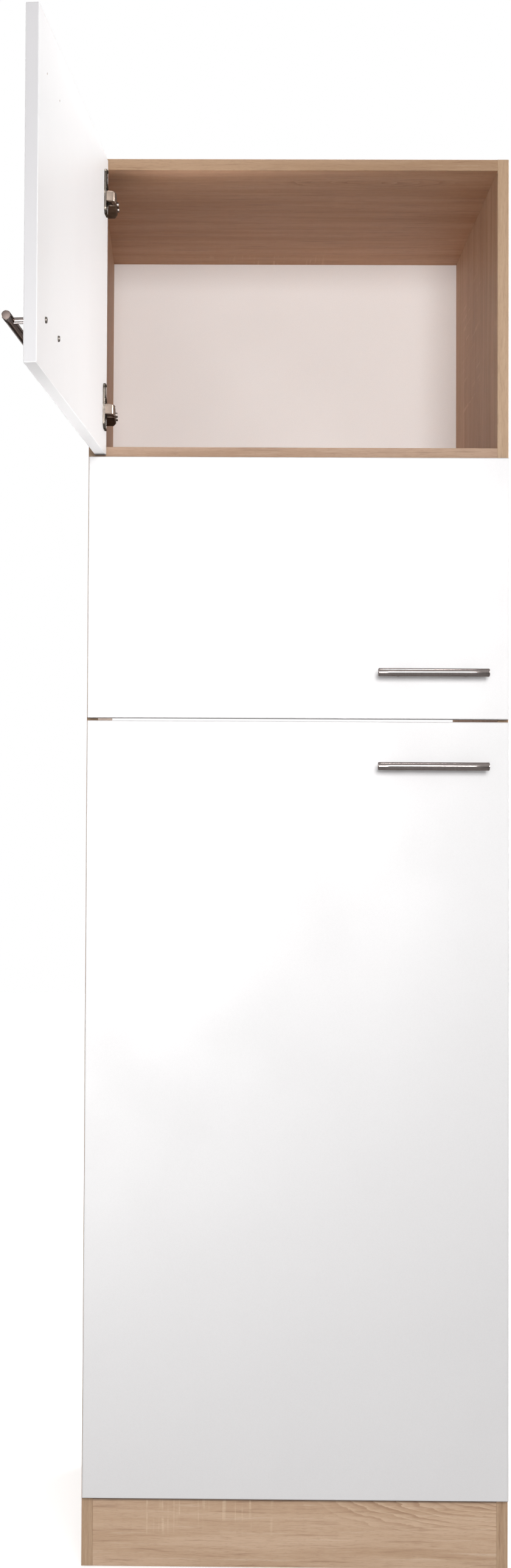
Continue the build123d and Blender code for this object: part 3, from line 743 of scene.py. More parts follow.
class HandWear(SharedGroup):
    """Wear of handled metal: faint blotches and a few hair-thin scratches."""

    name = "hand_wear"
    inputs = {"Vector": (SocketKind.VECTOR, None)}
    outputs = {"Blotch": SocketKind.VALUE, "Scratch": SocketKind.VALUE}

    @classmethod
    def wire(cls, bench: Bench, entry: bpy.types.Node) -> dict[str, bpy.types.NodeSocket]:
        """Builds blotches from soft noise and scratches from two crossed sets of thin noise lines.

        Args:
            bench: Workbench on the group's tree.
            entry: Node with the group's inputs.

        Returns:
            What goes to each output.
        """
        vector = entry.outputs["Vector"]
        blotch = bench.noise(vector, (110.0, 110.0, 110.0), 3.0)
        one_way = bench.pulse(bench.noise(vector, (60.0, 2600.0, 900.0), 0.0), 0.5, 0.012)
        other_way = bench.pulse(bench.noise(vector, (2100.0, 90.0, 1400.0), 0.0), 0.47, 0.010)
        return {"Blotch": blotch, "Scratch": bench.math("MAXIMUM", one_way, other_way)}


class BrushLines(SharedGroup):
    """Very fine lines that run round a bar, left by the grinding belt."""

    name = "brush_lines"
    inputs = {"Vector": (SocketKind.VECTOR, None)}
    outputs = {"Line": SocketKind.VALUE}

    @classmethod
    def wire(cls, bench: Bench, entry: bpy.types.Node) -> dict[str, bpy.types.NodeSocket]:
        """Builds the lines from noise that is fine along the bar and long round it.

        Args:
            bench: Workbench on the group's tree.
            entry: Node with the group's inputs.

        Returns:
            What goes to each output.
        """
        vector = entry.outputs["Vector"]
        fine = bench.noise(vector, (5200.0, 55.0, 55.0), 2.0)
        broad = bench.noise(vector, (900.0, 25.0, 25.0), 1.0)
        return {"Line": bench.plus(bench.times(fine, 0.7), bench.times(broad, 0.3))}


# --------------------------------------------------------------------------------------- finishes


class Finish:
    """A material made from nodes; each kind says how its own surface is built."""

    name: str
    pose: Pose = Pose.CLOSED

    def material(self) -> bpy.types.Material:
        """Makes the finish at the first call.

        Returns:
            The finished material.
        """
        made = bpy.data.materials.get(self.name)
        if made is not None:
            return made
        made = bpy.data.materials.new(self.name)
        made.use_nodes = True
        made.node_tree.nodes.clear()
        bench = Bench(made.node_tree)
        shader = bench.node("BsdfPrincipled")
        leave = bench.node("OutputMaterial")
        bench.plug(leave.inputs["Surface"], shader.outputs[0])
        self.wire(bench, shader, self.drawn_place(bench))
        return made

    def drawn_place(self, bench: Bench) -> bpy.types.NodeSocket:
        """Where a point lies with the door closed, so that a pattern stays on an open door.

        Args:
            bench: Workbench on the material's tree.

        Returns:
            The place, in metres.
        """
        place = bench.node("TexCoord").outputs["Object"]
        if self.pose is Pose.CLOSED:
            return place
        turn, shift = self.pose.way
        angle = math.atan2(turn[1, 0], turn[0, 0])
        mapping = bench.node("Mapping", {"Vector": place}, vector_type="POINT")
        mapping.inputs["Rotation"].default_value = (0.0, 0.0, -angle)
        mapping.inputs["Location"].default_value = tuple(-(turn.T @ shift))
        return mapping.outputs[0]

    def bump(self, bench: Bench, shader: bpy.types.Node, height: Feed, strength: float, depth: float) -> None:
        """Gives a shader a relief of a height in metres."""
        node = bench.node("Bump", {"Height": height, "Strength": strength, "Distance": depth})
        bench.plug(shader.inputs["Normal"], node.outputs[0])

    def wire(self, bench: Bench, shader: bpy.types.Node, place: bpy.types.NodeSocket) -> None:
        """Connects the finish's nodes to the shader.

        Args:
            bench: Workbench on the material's tree.
            shader: The material's Principled shader.
            place: Where a point lies with the door closed.
        """
        raise NotImplementedError


class Lie(Enum):
    """How a board lies: the axis its grain runs along, across and through it."""

    FLAT = (0, 1, 2)
    SIDE = (2, 1, 0)
    UPRIGHT = (0, 2, 1)


@dataclass(frozen=True)
class OakBoard(Finish):
    """Oak-decor chipboard with banded front edge, raw hidden edges and a painted shadow above a given height.
    """

    name: str
    lie: Lie
    faces: tuple[float, float]
    seed: float
    front_band: bool = True
    tone: Colour = (0.98, 0.88, 0.80, 1.0)
    band_tone: Colour = (0.81, 0.785, 0.72, 1.0)
    fleck_place: float = 5.0
    fleck_across: float = 0.0
    fleck_reach: float = 0.12
    fleck_tall: float = 0.04
    arch_place: float = 5.0
    arch_across: float = 0.0
    arch_reach: float = 0.05
    # Height from which the painted shadow is at full strength.
    painted_shadow_above: float = 5.0
    face_skin: float = 0.06 * MM
    band_thickness: float = 0.8 * MM
    front: float = -8.0 * MM
    glue_behind: float = 0.1 * MM
    glue_width: float = 0.18 * MM
    glue_brown: Colour = tint(112, 82, 58)
    # Painted shadow: how far below that height it fades in, and its brown.
    painted_shadow_depth: float = 4.0 * MM
    painted_shadow_brown: Colour = tint(84, 66, 56)

    def wire(self, bench: Bench, shader: bpy.types.Node, place: bpy.types.NodeSocket) -> None:
        """Connects the oak figure, the edge band with its glue line, a painted shadow above a height, and
        chipboard elsewhere.

        Args:
            bench: Workbench on the material's tree.
            shader: The material's Principled shader.
            place: Where a point lies with the door closed.
        """
        axes = bench.parts(place)
        along, across, through = (axes[i] for i in self.lie.value)
        figure = bench.use(OakFigure.tree(), {
            "Vector": bench.join(along, bench.plus(across, through), 0.0), "Seed": self.seed,
            "Fleck Place": self.fleck_place, "Fleck Across": self.fleck_across,
            "Fleck Reach": self.fleck_reach, "Fleck Tall": self.fleck_tall,
            "Arch Place": self.arch_place, "Arch Across": self.arch_across, "Arch Reach": self.arch_reach,
        })
        oak = bench.mix(1.0, figure.outputs["Color"], self.tone, "MULTIPLY")
        chips = bench.use(PressedChips.tree(), {"Vector": place})
        low, high = (bench.gap(through, face) for face in self.faces)
        decor = bench.math("LESS_THAN", bench.math("MINIMUM", low, high), self.face_skin)
        if self.front_band:
            behind = self.front + self.band_thickness
            band = bench.math("LESS_THAN", axes[1], behind)
            decor = bench.math("MAXIMUM", decor, band)
            banded = bench.mix(1.0, figure.outputs["Color"], self.band_tone, "MULTIPLY")
            oak = bench.mix(band, oak, banded)
            glue = bench.pulse(axes[1], behind + self.glue_behind, self.glue_width)
            oak = bench.mix(bench.times(glue, 0.45), oak, self.glue_brown)
        # Painted shadow: darkens the board brown from a little below the given height upwards, where the door
        # above shades it.
        painted_shadow = bench.ramp(axes[2], self.painted_shadow_above - self.painted_shadow_depth, self.painted_shadow_above, 0.0, 0.75)
        oak = bench.mix(painted_shadow, oak, self.painted_shadow_brown)
        colour = bench.mix(decor, chips.outputs["Color"], oak)
        bench.plug(shader.inputs["Base Color"], colour)
        rough = bench.ramp(figure.outputs["Dull"], 0.0, 1.0, 0.52, 0.64)
        bench.plug(shader.inputs["Roughness"], bench.math("MAXIMUM", rough, bench.less(0.9, decor)))
        shader.inputs["Specular IOR Level"].default_value = 0.22
        self.bump(bench, shader, figure.outputs["Height"], 0.5, 0.05 * MM)


@dataclass(frozen=True)
class WhiteFront(Finish):
    """White coated door board with edge bands all round, chipboard inside its bores and an optional painted
    shadow line along one edge.
    """

    name: str
    x_span: tuple[float, float]
    y_span: tuple[float, float]
    z_span: tuple[float, float]
    pose: Pose = Pose.CLOSED
    base: Colour = (0.612, 0.600, 0.603, 1.0)
    band: Colour = (0.500, 0.488, 0.500, 1.0)
    # Height of a painted shadow line along the door's edge, if any.
    painted_gap_shadow: Optional[float] = None
    face_skin: float = 0.08 * MM
    edge_skin: float = 0.05 * MM
    band_thickness: float = 1.2 * MM
    seam: float = 1.4 * MM
    seam_width: float = 0.45 * MM
    seam_grey: Colour = tint(150, 146, 142)
    # Width and grey of that painted shadow line.
    gap_shadow_width: float = 1.1 * MM
    gap_shadow_grey: Colour = tint(70, 66, 74)

    def wire(self, bench: Bench, shader: bpy.types.Node, place: bpy.types.NodeSocket) -> None:
        """Connects the lacquer, the thin seam beside each edge band, the painted shadow line of the gap and
        the raw bores.

        Args:
            bench: Workbench on the material's tree.
            shader: The material's Principled shader.
            place: Where a point lies with the door closed.
        """
        x, y, z = bench.parts(place)
        skin = bench.use(LacquerSkin.tree(), {"Vector": place, "Base": self.base})
        side, level = (
            bench.math("MINIMUM", bench.less(value, span[0]), bench.less(span[1], value))
            for value, span in ((x, self.x_span), (z, self.z_span))
        )
        edge = bench.math("MINIMUM", side, level)
        off_face = bench.math("MINIMUM", *(bench.gap(y, face) for face in self.y_span))
        deep = bench.math("GREATER_THAN", off_face, self.face_skin)
        raw = bench.times(deep, bench.math("GREATER_THAN", edge, self.band_thickness))
        seam = bench.times(bench.pulse(edge, self.seam, self.seam_width), 0.28)
        colour = bench.mix(seam, skin.outputs["Color"], self.seam_grey)
        colour = bench.mix(bench.math("LESS_THAN", side, self.edge_skin), colour, self.band)
        # Painted shadow: a dark grey line at one height along the door's edge, standing in for the shade in
        # the gap beside it.
        if self.painted_gap_shadow is not None:
            rim = bench.times(bench.pulse(z, self.painted_gap_shadow, self.gap_shadow_width), 0.85)
            colour = bench.mix(rim, colour, self.gap_shadow_grey)
        chips = bench.use(PressedChips.tree(), {"Vector": place})
        bench.plug(shader.inputs["Base Color"], bench.mix(raw, colour, chips.outputs["Color"]))
        bench.plug(shader.inputs["Roughness"], bench.ramp(skin.outputs["Dull"], 0.3, 0.7, 0.42, 0.48))
        shader.inputs["Specular IOR Level"].default_value = 1.0
        self.bump(bench, shader, skin.outputs["Height"], 0.12, 0.03 * MM)


@dataclass(frozen=True)
class WhiteBack(Finish):
    """Thin white back board, matt, with a faint cloudy print."""

    name: str = "white_back_board"
    base: Colour = (0.92, 0.885, 0.87, 1.0)
    clouded: Colour = (0.78, 0.74, 0.73, 1.0)

    def wire(self, bench: Bench, shader: bpy.types.Node, place: bpy.types.NodeSocket) -> None:
        """Connects the skin with a slow change of tone.

        Args:
            bench: Workbench on the material's tree.
            shader: The material's Principled shader.
            place: Where a point lies with the door closed.
        """
        skin = bench.use(LacquerSkin.tree(), {"Vector": place, "Base": self.base})
        slow = bench.noise(place, (2.2, 2.2, 2.2), 2.0)
        colour = bench.streaks(skin.outputs["Color"], ((slow, 0.35, 0.7, 0.25, self.clouded),))
        bench.plug(shader.inputs["Base Color"], colour)
        bench.plug(shader.inputs["Roughness"], bench.ramp(skin.outputs["Dull"], 0.3, 0.7, 0.60, 0.70))
        self.bump(bench, shader, skin.outputs["Height"], 0.10, 0.03 * MM)


class Coat(Enum):
    """Coats of the small metal parts: colour, and the least and greatest roughness."""

    CAM_ZINC = (tint(150, 150, 152), (0.45, 0.60))
    BOLT_ZINC = (tint(196, 196, 198), (0.28, 0.40))
    HINGE_SCREW_ZINC = (tint(150, 142, 136), (0.30, 0.42))
    HANDLE_SCREW_ZINC = (tint(116, 110, 105), (0.30, 0.42))
    PLATE_NICKEL = (tint(122, 110, 100), (0.28, 0.40))
    ARM_NICKEL = (tint(122, 107, 96), (0.28, 0.40))
    LINK_NICKEL = (tint(160, 144, 132), (0.30, 0.42))
    CUP_NICKEL = (tint(116, 109, 101), (0.24, 0.34))
    # Painted shade: the rims' nickel is a darker copy of the cups', standing in for the dark reflections the
    # rims show.
    RIM_NICKEL_SHADED = (tint(92, 86, 80), (0.22, 0.32))


@dataclass(frozen=True)
class PlatedSteel(Finish):
    """Pressed steel with a nickel or zinc coat."""

    name: str
    coat: Coat
    pose: Pose = Pose.CLOSED
    stained: float = 0.72
    sheen: Colour = (0.40, 0.38, 0.36, 1.0)

    def wire(self, bench: Bench, shader: bpy.types.Node, place: bpy.types.NodeSocket) -> None:
        """Connects the coat with blotches and scratches.

        Args:
            bench: Workbench on the material's tree.
            shader: The material's Principled shader.
            place: Where a point lies with the door closed.
        """
        base, rough_span = self.coat.value
        wear = bench.use(HandWear.tree(), {"Vector": place})
        blotch, scratch = wear.outputs["Blotch"], wear.outputs["Scratch"]
        darker = tuple(self.stained * value for value in base[:3]) + (1.0,)
        bench.plug(shader.inputs["Base Color"], bench.mix(bench.ramp(blotch, 0.3, 0.7), base, darker))
        rough = bench.ramp(blotch, 0.3, 0.7, *rough_span)
        bench.plug(shader.inputs["Roughness"], bench.plus(rough, bench.times(scratch, 0.1)))
        shader.inputs["Metallic"].default_value = 1.0
        shader.inputs["Specular Tint"].default_value = self.sheen
        self.bump(bench, shader, bench.less(blotch, scratch), 0.08, 0.02 * MM)


@dataclass(frozen=True)
class BrushedSteel(Finish):
    """Ground stainless bar with matt sawn ends."""

    name: str
    x_span: tuple[float, float]
    pose: Pose = Pose.CLOSED
    light: Colour = tint(138, 130, 127)
    dark: Colour = tint(120, 112, 109)
    sawn: Colour = tint(98, 88, 84)
    sheen: Colour = (0.45, 0.40, 0.38, 1.0)

    def wire(self, bench: Bench, shader: bpy.types.Node, place: bpy.types.NodeSocket) -> None:
        """Connects the ground lines, the sawn ends and the wear to a metal.

        Args:
            bench: Workbench on the material's tree.
            shader: The material's Principled shader.
            place: Where a point lies with the door closed.
        """
        lines = bench.use(BrushLines.tree(), {"Vector": place}).outputs["Line"]
        scratch = bench.use(HandWear.tree(), {"Vector": place}).outputs["Scratch"]
        colour = bench.mix(bench.ramp(lines, 0.3, 0.7), self.light, self.dark)
        x = bench.parts(place)[0]
        ends = bench.math("MAXIMUM", bench.math("LESS_THAN", x, self.x_span[0]),
                          bench.math("GREATER_THAN", x, self.x_span[1]))
        bench.plug(shader.inputs["Base Color"], bench.mix(ends, colour, self.sawn))
        shader.inputs["Specular Tint"].default_value = self.sheen
        rough = bench.ramp(lines, 0.3, 0.7, 0.11, 0.16)
        rough = bench.plus(bench.plus(rough, bench.times(scratch, 0.08)), bench.times(ends, 0.45))
        bench.plug(shader.inputs["Roughness"], rough)
        shader.inputs["Metallic"].default_value = 1.0
        self.bump(bench, shader, lines, 0.04, 0.01 * MM)


@dataclass(frozen=True)
class DowelBeech(Finish):
    """Raw turned beech."""

    name: str = "dowel_beech"
    pale: Colour = tint(214, 176, 132)
    deep: Colour = tint(176, 134, 92)

    def wire(self, bench: Bench, shader: bpy.types.Node, place: bpy.types.NodeSocket) -> None:
        """Connects fine grain along X.

        Args:
            bench: Workbench on the material's tree.
            shader: The material's Principled shader.
            place: Where a point lies with the door closed.
        """
        grain = bench.noise(place, (60.0, 1400.0, 1400.0), 3.0)
        bench.plug(shader.inputs["Base Color"], bench.mix(grain, self.pale, self.deep))
        bench.plug(shader.inputs["Roughness"], bench.ramp(grain, 0.2, 0.8, 0.6, 0.8))
        self.bump(bench, shader, grain, 0.2, 0.05 * MM)


# ---------------------------------------------------------------------------------- sub-assemblies


def dress(node: str, finish: Finish) -> None:
    """Gives a CAD node a finish.

    Args:
        node: Name of the node.
        finish: Finish that takes the place of all the node's materials.
    """
    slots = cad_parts[node].data.materials
    slots.clear()
    slots.append(finish.material())


@dataclass
class Carcass:
    """Boards of the unit with their fittings."""

    half_width: float = 300.0 * MM
    inner: float = 284.0 * MM
    board: float = 16.0 * MM
    plinth_height: float = 95.0 * MM
    shelf_bottom: float = 1568.0 * MM
    top_underside: float = 1984.0 * MM
    rail_front: float = 526.0 * MM

    def flat(self, name: str, bottom: float, seed: float, **figure: Any) -> OakBoard:
        """Finish of a level board whose underside is at a height."""
        return OakBoard(name, Lie.FLAT, (bottom, bottom + self.board), seed, **figure)

    def dress(self) -> None:
        """Gives every board and fitting its finish."""
        for side, name, seed in ((-1.0, "left", 3.0), (1.0, "right", 11.0)):
            faces = (side * self.inner, side * self.half_width)
            dress(f"{name}_side_panel", OakBoard(
                f"oak_{name}_side", Lie.SIDE, faces, seed, fleck_place=1.80,
                fleck_across=0.30 + side * self.inner, fleck_reach=0.14, fleck_tall=0.14))
        dress("top_panel", self.flat(
            "oak_top", self.top_underside, 23.0,
            tone=(0.97, 0.81, 0.70, 1.0), band_tone=(0.68, 0.62, 0.54, 1.0),
            fleck_place=-0.03, fleck_across=2.47, fleck_reach=0.12, fleck_tall=0.05,
            arch_place=0.10, arch_across=2.035, arch_reach=0.03))
        dress("compartment_floor", self.flat(
            "oak_compartment_floor", self.shelf_bottom, 31.0, band_tone=(0.78, 0.735, 0.72, 1.0)))
        dress("fridge_floor", self.flat("oak_fridge_floor", self.plinth_height, 41.0))
        # The plinth's top few millimetres get a painted shadow of the bottom door.
        dress("plinth_board", OakBoard(
            "oak_plinth", Lie.UPRIGHT, (-8.0 * MM, 8.0 * MM), 57.0,
            front_band=False, tone=(1.0, 1.0, 0.98, 1.0),
            fleck_place=-0.13, fleck_across=0.066, fleck_reach=0.125, fleck_tall=0.034,
            arch_place=0.33, arch_across=0.095, arch_reach=0.075, painted_shadow_above=94.5 * MM))
        for name, seed in (("lower_rear_rail", 71.0), ("upper_rear_rail", 83.0)):
            faces = (self.rail_front, self.rail_front + self.board)
            dress(name, OakBoard(f"oak_{name}", Lie.UPRIGHT, faces, seed, front_band=False))
        dress("compartment_back", WhiteBack())
        dress("wood_dowels", DowelBeech())
        for name, material, coat in (
            ("cam_discs", "die_cast_zinc", Coat.CAM_ZINC),
            ("cam_bolts", "zinc_bolts", Coat.BOLT_ZINC),
            ("hinge_arm_pins", "hinge_nickel", Coat.PLATE_NICKEL),
            ("hinge_plates", "hinge_nickel", Coat.PLATE_NICKEL),
            ("hinge_plate_screws", "hinge_screws_zinc", Coat.HINGE_SCREW_ZINC),
            ("hinge_arm_screws", "hinge_screws_zinc", Coat.HINGE_SCREW_ZINC),
        ):
            dress(name, PlatedSteel(material, coat))
        LOG.info("carcass dressed")


@dataclass
class BarHandle:
    """Round bar on two posts, saddled onto the bar."""

    name: str
    body: str
    height: float
    pose: Pose
    centre: float = 189.5 * MM
    length: float = 156.0 * MM
    radius: float = 5.7 * MM
    chamfer: float = 0.7 * MM
    bar_y: float = -52.3 * MM
    face_y: float = -26.0 * MM
    post_radius: float = 4.0 * MM
    post_spacing: float = 96.0 * MM
    segments: int = 72

    def bar(self) -> Patch:
        """The bar: radius over length, with an eased chamfer at both ends.

        Returns:
            The bar's patch.
        """
        c = self.chamfer
        ease = np.array([[0.0, c], [0.12 * c, 0.80 * c], [0.80 * c, 0.12 * c], [c, 0.0]])
        near = np.stack([ease[:, 0], self.radius - ease[:, 1]], axis=1)
        middle = np.linspace(c, self.length - c, 9)[1:-1]
        body = np.stack([middle, np.full_like(middle, self.radius)], axis=1)
        far = np.stack([self.length - near[::-1, 0], near[::-1, 1]], axis=1)
        start = (self.centre - self.length / 2, self.bar_y, self.height)
        return lathe(np.concatenate([near, body, far]), start, 0, self.segments)

    def post(self, x: float) -> Patch:
        """A post: rings from the door's face to the saddle.

        The last ring lies on the bar, where its distance from the bar's axis is the root of the
        bar's radius squared less the height squared.

        Args:
            x: Place of the post's axis.

        Returns:
            The post's patch.
        """
        turn = np.linspace(0.0, 2.0 * np.pi, 48, endpoint=False)
        across, up = np.cos(turn), np.sin(turn)
        saddle = self.bar_y + np.sqrt(self.radius ** 2 - (self.post_radius * up) ** 2)
        collar = np.array([0.94, 1.0, 1.0, 1.0, 1.0])
        share = np.array([0.0, 0.02, 0.35, 0.70, 1.0])
        radii = self.post_radius * collar
        points = np.zeros((5, 48, 3))
        points[..., 0] = x + radii[:, None] * across[None, :]
        points[..., 1] = self.face_y + share[:, None] * (saddle - self.face_y)[None, :]
        points[..., 2] = self.height + radii[:, None] * up[None, :]
        return grid_patch(points)

    def build(self) -> None:
        """Makes the bar and its posts in place of their CAD nodes."""
        reach = self.length / 2 - 0.12 * self.chamfer
        steel = BrushedSteel(f"{self.name}_steel", (self.centre - reach, self.centre + reach), self.pose)
        bar = make_piece(f"{self.name}_handle_bar_ground", [self.pose.carry(self.bar())], self.body)
        ends = [self.centre + side * self.post_spacing / 2 for side in (-1, 1)]
        posts = make_piece(
            f"{self.name}_handle_posts_ground", [self.pose.carry(self.post(x)) for x in ends], self.body
        )
        for piece, node in ((bar, "handle_bar"), (posts, "handle_posts")):
            piece.data.materials.append(steel.material())
            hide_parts(f"{self.name}_{node}")
        zinc = PlatedSteel(f"{self.name}_handle_screw_zinc", Coat.HANDLE_SCREW_ZINC, self.pose)
        dress(f"{self.name}_handle_screws", zinc)


@dataclass
class CupRims:
    """Rounded rims pressed up round the hinge flanges of one door.

    The section's pairs are millimetres inwards and parts of the rim's height.
    """

    name: str
    body: str
    heights: Sequence[float]
    pose: Pose
    centre_x: float = -271.5 * MM
    half_width: float = 13.0 * MM
    half_height: float = 32.5 * MM
    corner: float = 9.0 * MM
    face_y: float = -10.0 * MM
    rim: float = 3.3 * MM
    flange: float = 1.5 * MM
    fade_from: float = -283.4 * MM
    fade_to: float = -279.5 * MM
    hair: float = 0.02 * MM
    section: tuple[tuple[float, float], ...] = (
        (-0.05, 0.0), (-0.05, 0.62), (0.12, 0.82), (0.50, 0.95), (1.00, 1.0),
        (1.60, 0.97), (2.10, 0.86), (2.50, 0.66), (2.90, 0.40), (3.00, 0.0),
    )

    def path(self, height: float) -> tuple[np.ndarray, np.ndarray]:
        """The flange's outline on its compartment side, and the way in from it.

        Two straight runs and two quarter circles, whose points are the corner's centre plus the
        corner radius times the cosine and sine of the turn.

        Args:
            height: Height of the hinge.

        Returns:
            Points of the outline, and the way in at each.
        """
        turn = np.linspace(np.pi / 2, 0.0, 13)
        corner_x = self.centre_x + self.half_width - self.corner
        corner_z = self.half_height - self.corner
        run = np.linspace(self.fade_from, corner_x, 8)[:-1]
        x = np.concatenate([run, corner_x + self.corner * np.cos(turn)])
        z = np.concatenate([np.full_like(run, self.half_height), corner_z + self.corner * np.sin(turn)])
        in_x = np.concatenate([np.zeros_like(run), -np.cos(turn)])
        in_z = np.concatenate([-np.ones_like(run), -np.sin(turn)])
        x, in_x = np.concatenate([x, x[::-1]]), np.concatenate([in_x, in_x[::-1]])
        z, in_z = np.concatenate([z, -z[::-1]]), np.concatenate([in_z, -in_z[::-1]])
        zero = np.zeros_like(x)
        points = np.stack([x, zero + self.face_y, z + height], axis=1)
        return points, np.stack([in_x, zero, in_z], axis=1)

    def rim_patch(self, height: float) -> Patch:
        """One rim: a rounded section carried round the outline, sinking to the flange at its ends.

        Args:
            height: Height of the hinge.

        Returns:
            The rim's patch.
        """
        path, inward = self.path(height)
        section = np.array(self.section) * [MM, self.rim]
        share = np.clip((path[:, 0] - self.fade_from) / (self.fade_to - self.fade_from), 0.0, 1.0)
        lift = self.flange + self.hair + (self.rim - self.flange) * share * share * (3.0 - 2.0 * share)
        return sweep(path, inward, section, lift)

    def build(self) -> None:
        """Makes the rims of this door's hinges and dresses the hinge pieces that ride with them."""
        rims = make_piece(
            f"{self.name}_hinge_rims", [self.pose.carry(self.rim_patch(z)) for z in self.heights], self.body
        )
        # Painted shade: the rims take the darker copy of the cups' nickel.
        bent = PlatedSteel(f"{self.name}_rim_nickel_shaded", Coat.RIM_NICKEL_SHADED, self.pose)
        rims.data.materials.append(bent.material())
        for node, material, coat in (
            ("hinge_cups", "cup_nickel", Coat.CUP_NICKEL),
            ("hinge_cup_pins", "cup_nickel", Coat.CUP_NICKEL),
            ("hinge_cup_screws", "cup_screw_zinc", Coat.HINGE_SCREW_ZINC),
        ):
            dress(f"{self.name}_{node}", PlatedSteel(f"{self.name}_{material}", coat, self.pose))


@dataclass
class HingeLinks:
    """Links of one door's hinges: folded channels with a knee, between the cup's and the arm's pin."""

    name: str
    heights: Sequence[float]
    pose: Pose
    knee_along: float = 10.0 * MM
    knee_out: float = 7.0 * MM
    knee_radius: float = 3.5 * MM
    half_width: float = 2.8 * MM
    half_height: float = 7.5 * MM
    sheet: float = 1.2 * MM
    bend: float = 1.6 * MM
    web_short_of_pin: float = 3.6 * MM
    eye_ease: float = 0.2 * MM
    hair: float = 0.02 * MM

    def knee(self) -> tuple[np.ndarray, np.ndarray, np.ndarray]:
        """Pin centres in plan with the knee's corner between them.

        Returns:
            The cup's pin, the corner and the arm's pin.
        """
        cup, arm = np.array(TRAVEL.cup_pin), np.array(TRAVEL.arm_pin)
        way = (arm - cup) / np.linalg.norm(arm - cup)
        return cup, cup + way * self.knee_along + np.array([way[1], -way[0]]) * self.knee_out, arm

    def spine(self) -> tuple[np.ndarray, np.ndarray, np.ndarray]:
        """Middle line of the web's channel.

        Two straight runs joined by a circular arc that touches both. Beyond the cup's pin the depth
        follows a half circle, the root of one less the square of the way past the pin.

        Returns:
            Points of the line, the way out at each and the share of the full depth.
        """
        cup, corner, arm = self.knee()
        first = (corner - cup) / np.linalg.norm(corner - cup)
        second = (arm - corner) / np.linalg.norm(arm - corner)
        angle = math.acos(float(np.clip(first @ second, -1.0, 1.0)))
        tangent = self.knee_radius * math.tan(angle / 2)
        past = np.linspace(-0.97, 0.0, 6)
        turn = np.linspace(0.0, angle, 9)
        out = np.array([first[1], -first[0]])
        centre = corner - first * tangent - out * self.knee_radius
        arc_out = np.cos(turn)[:, None] * out + np.sin(turn)[:, None] * first
        web_end = arm - second * self.web_short_of_pin
        points = np.concatenate([
            cup + past[:, None] * self.half_width * first, centre + self.knee_radius * arc_out, web_end[None]
        ])
        ways = np.concatenate([np.tile(out, (len(past), 1)), arc_out, [[second[1], -second[0]]]])
        share = np.concatenate([np.sqrt(1.0 - past ** 2), np.ones(len(turn) + 1)])
        return np.pad(points, ((0, 0), (0, 1))), np.pad(ways, ((0, 0), (0, 1))), share

    def patches(self, height: float) -> list[Patch]:
        """One link: its channel, and the two eyes that reach round the arm's pin.

        Args:
            height: Height of the hinge.

        Returns:
            The three patches.
        """
        spine, ways, share = self.spine()
        spine[:, 2] = height
        half = self.half_width
        section = channel_section(-half, half, self.half_height, self.sheet, self.bend)
        _, corner, arm = self.knee()
        way = (arm - corner) / np.linalg.norm(arm - corner)
        inner, outer = self.half_height - self.sheet + self.hair, self.half_height - self.hair
        root = arm - way * (self.web_short_of_pin + half)
        return [fold(spine, ways, section, share)] + [
            slot_plate(root, arm, half, height + low, height + high, self.eye_ease)
            for low, high in ((inner, outer), (-outer, -inner))
        ]

    def build(self) -> None:
        """Makes this door's links in place of their CAD node."""
        pose = Pose.CLOSED if self.pose is Pose.CLOSED else Pose.LINK_OPEN
        patches = [pose.carry(patch) for height in self.heights for patch in self.patches(height)]
        links = make_piece(f"{self.name}_hinge_links_folded", patches, f"{self.name}_links")
        nickel = PlatedSteel(f"{self.name}_link_nickel", Coat.LINK_NICKEL, pose)
        links.data.materials.append(nickel.material())
        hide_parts(f"{self.name}_hinge_links")


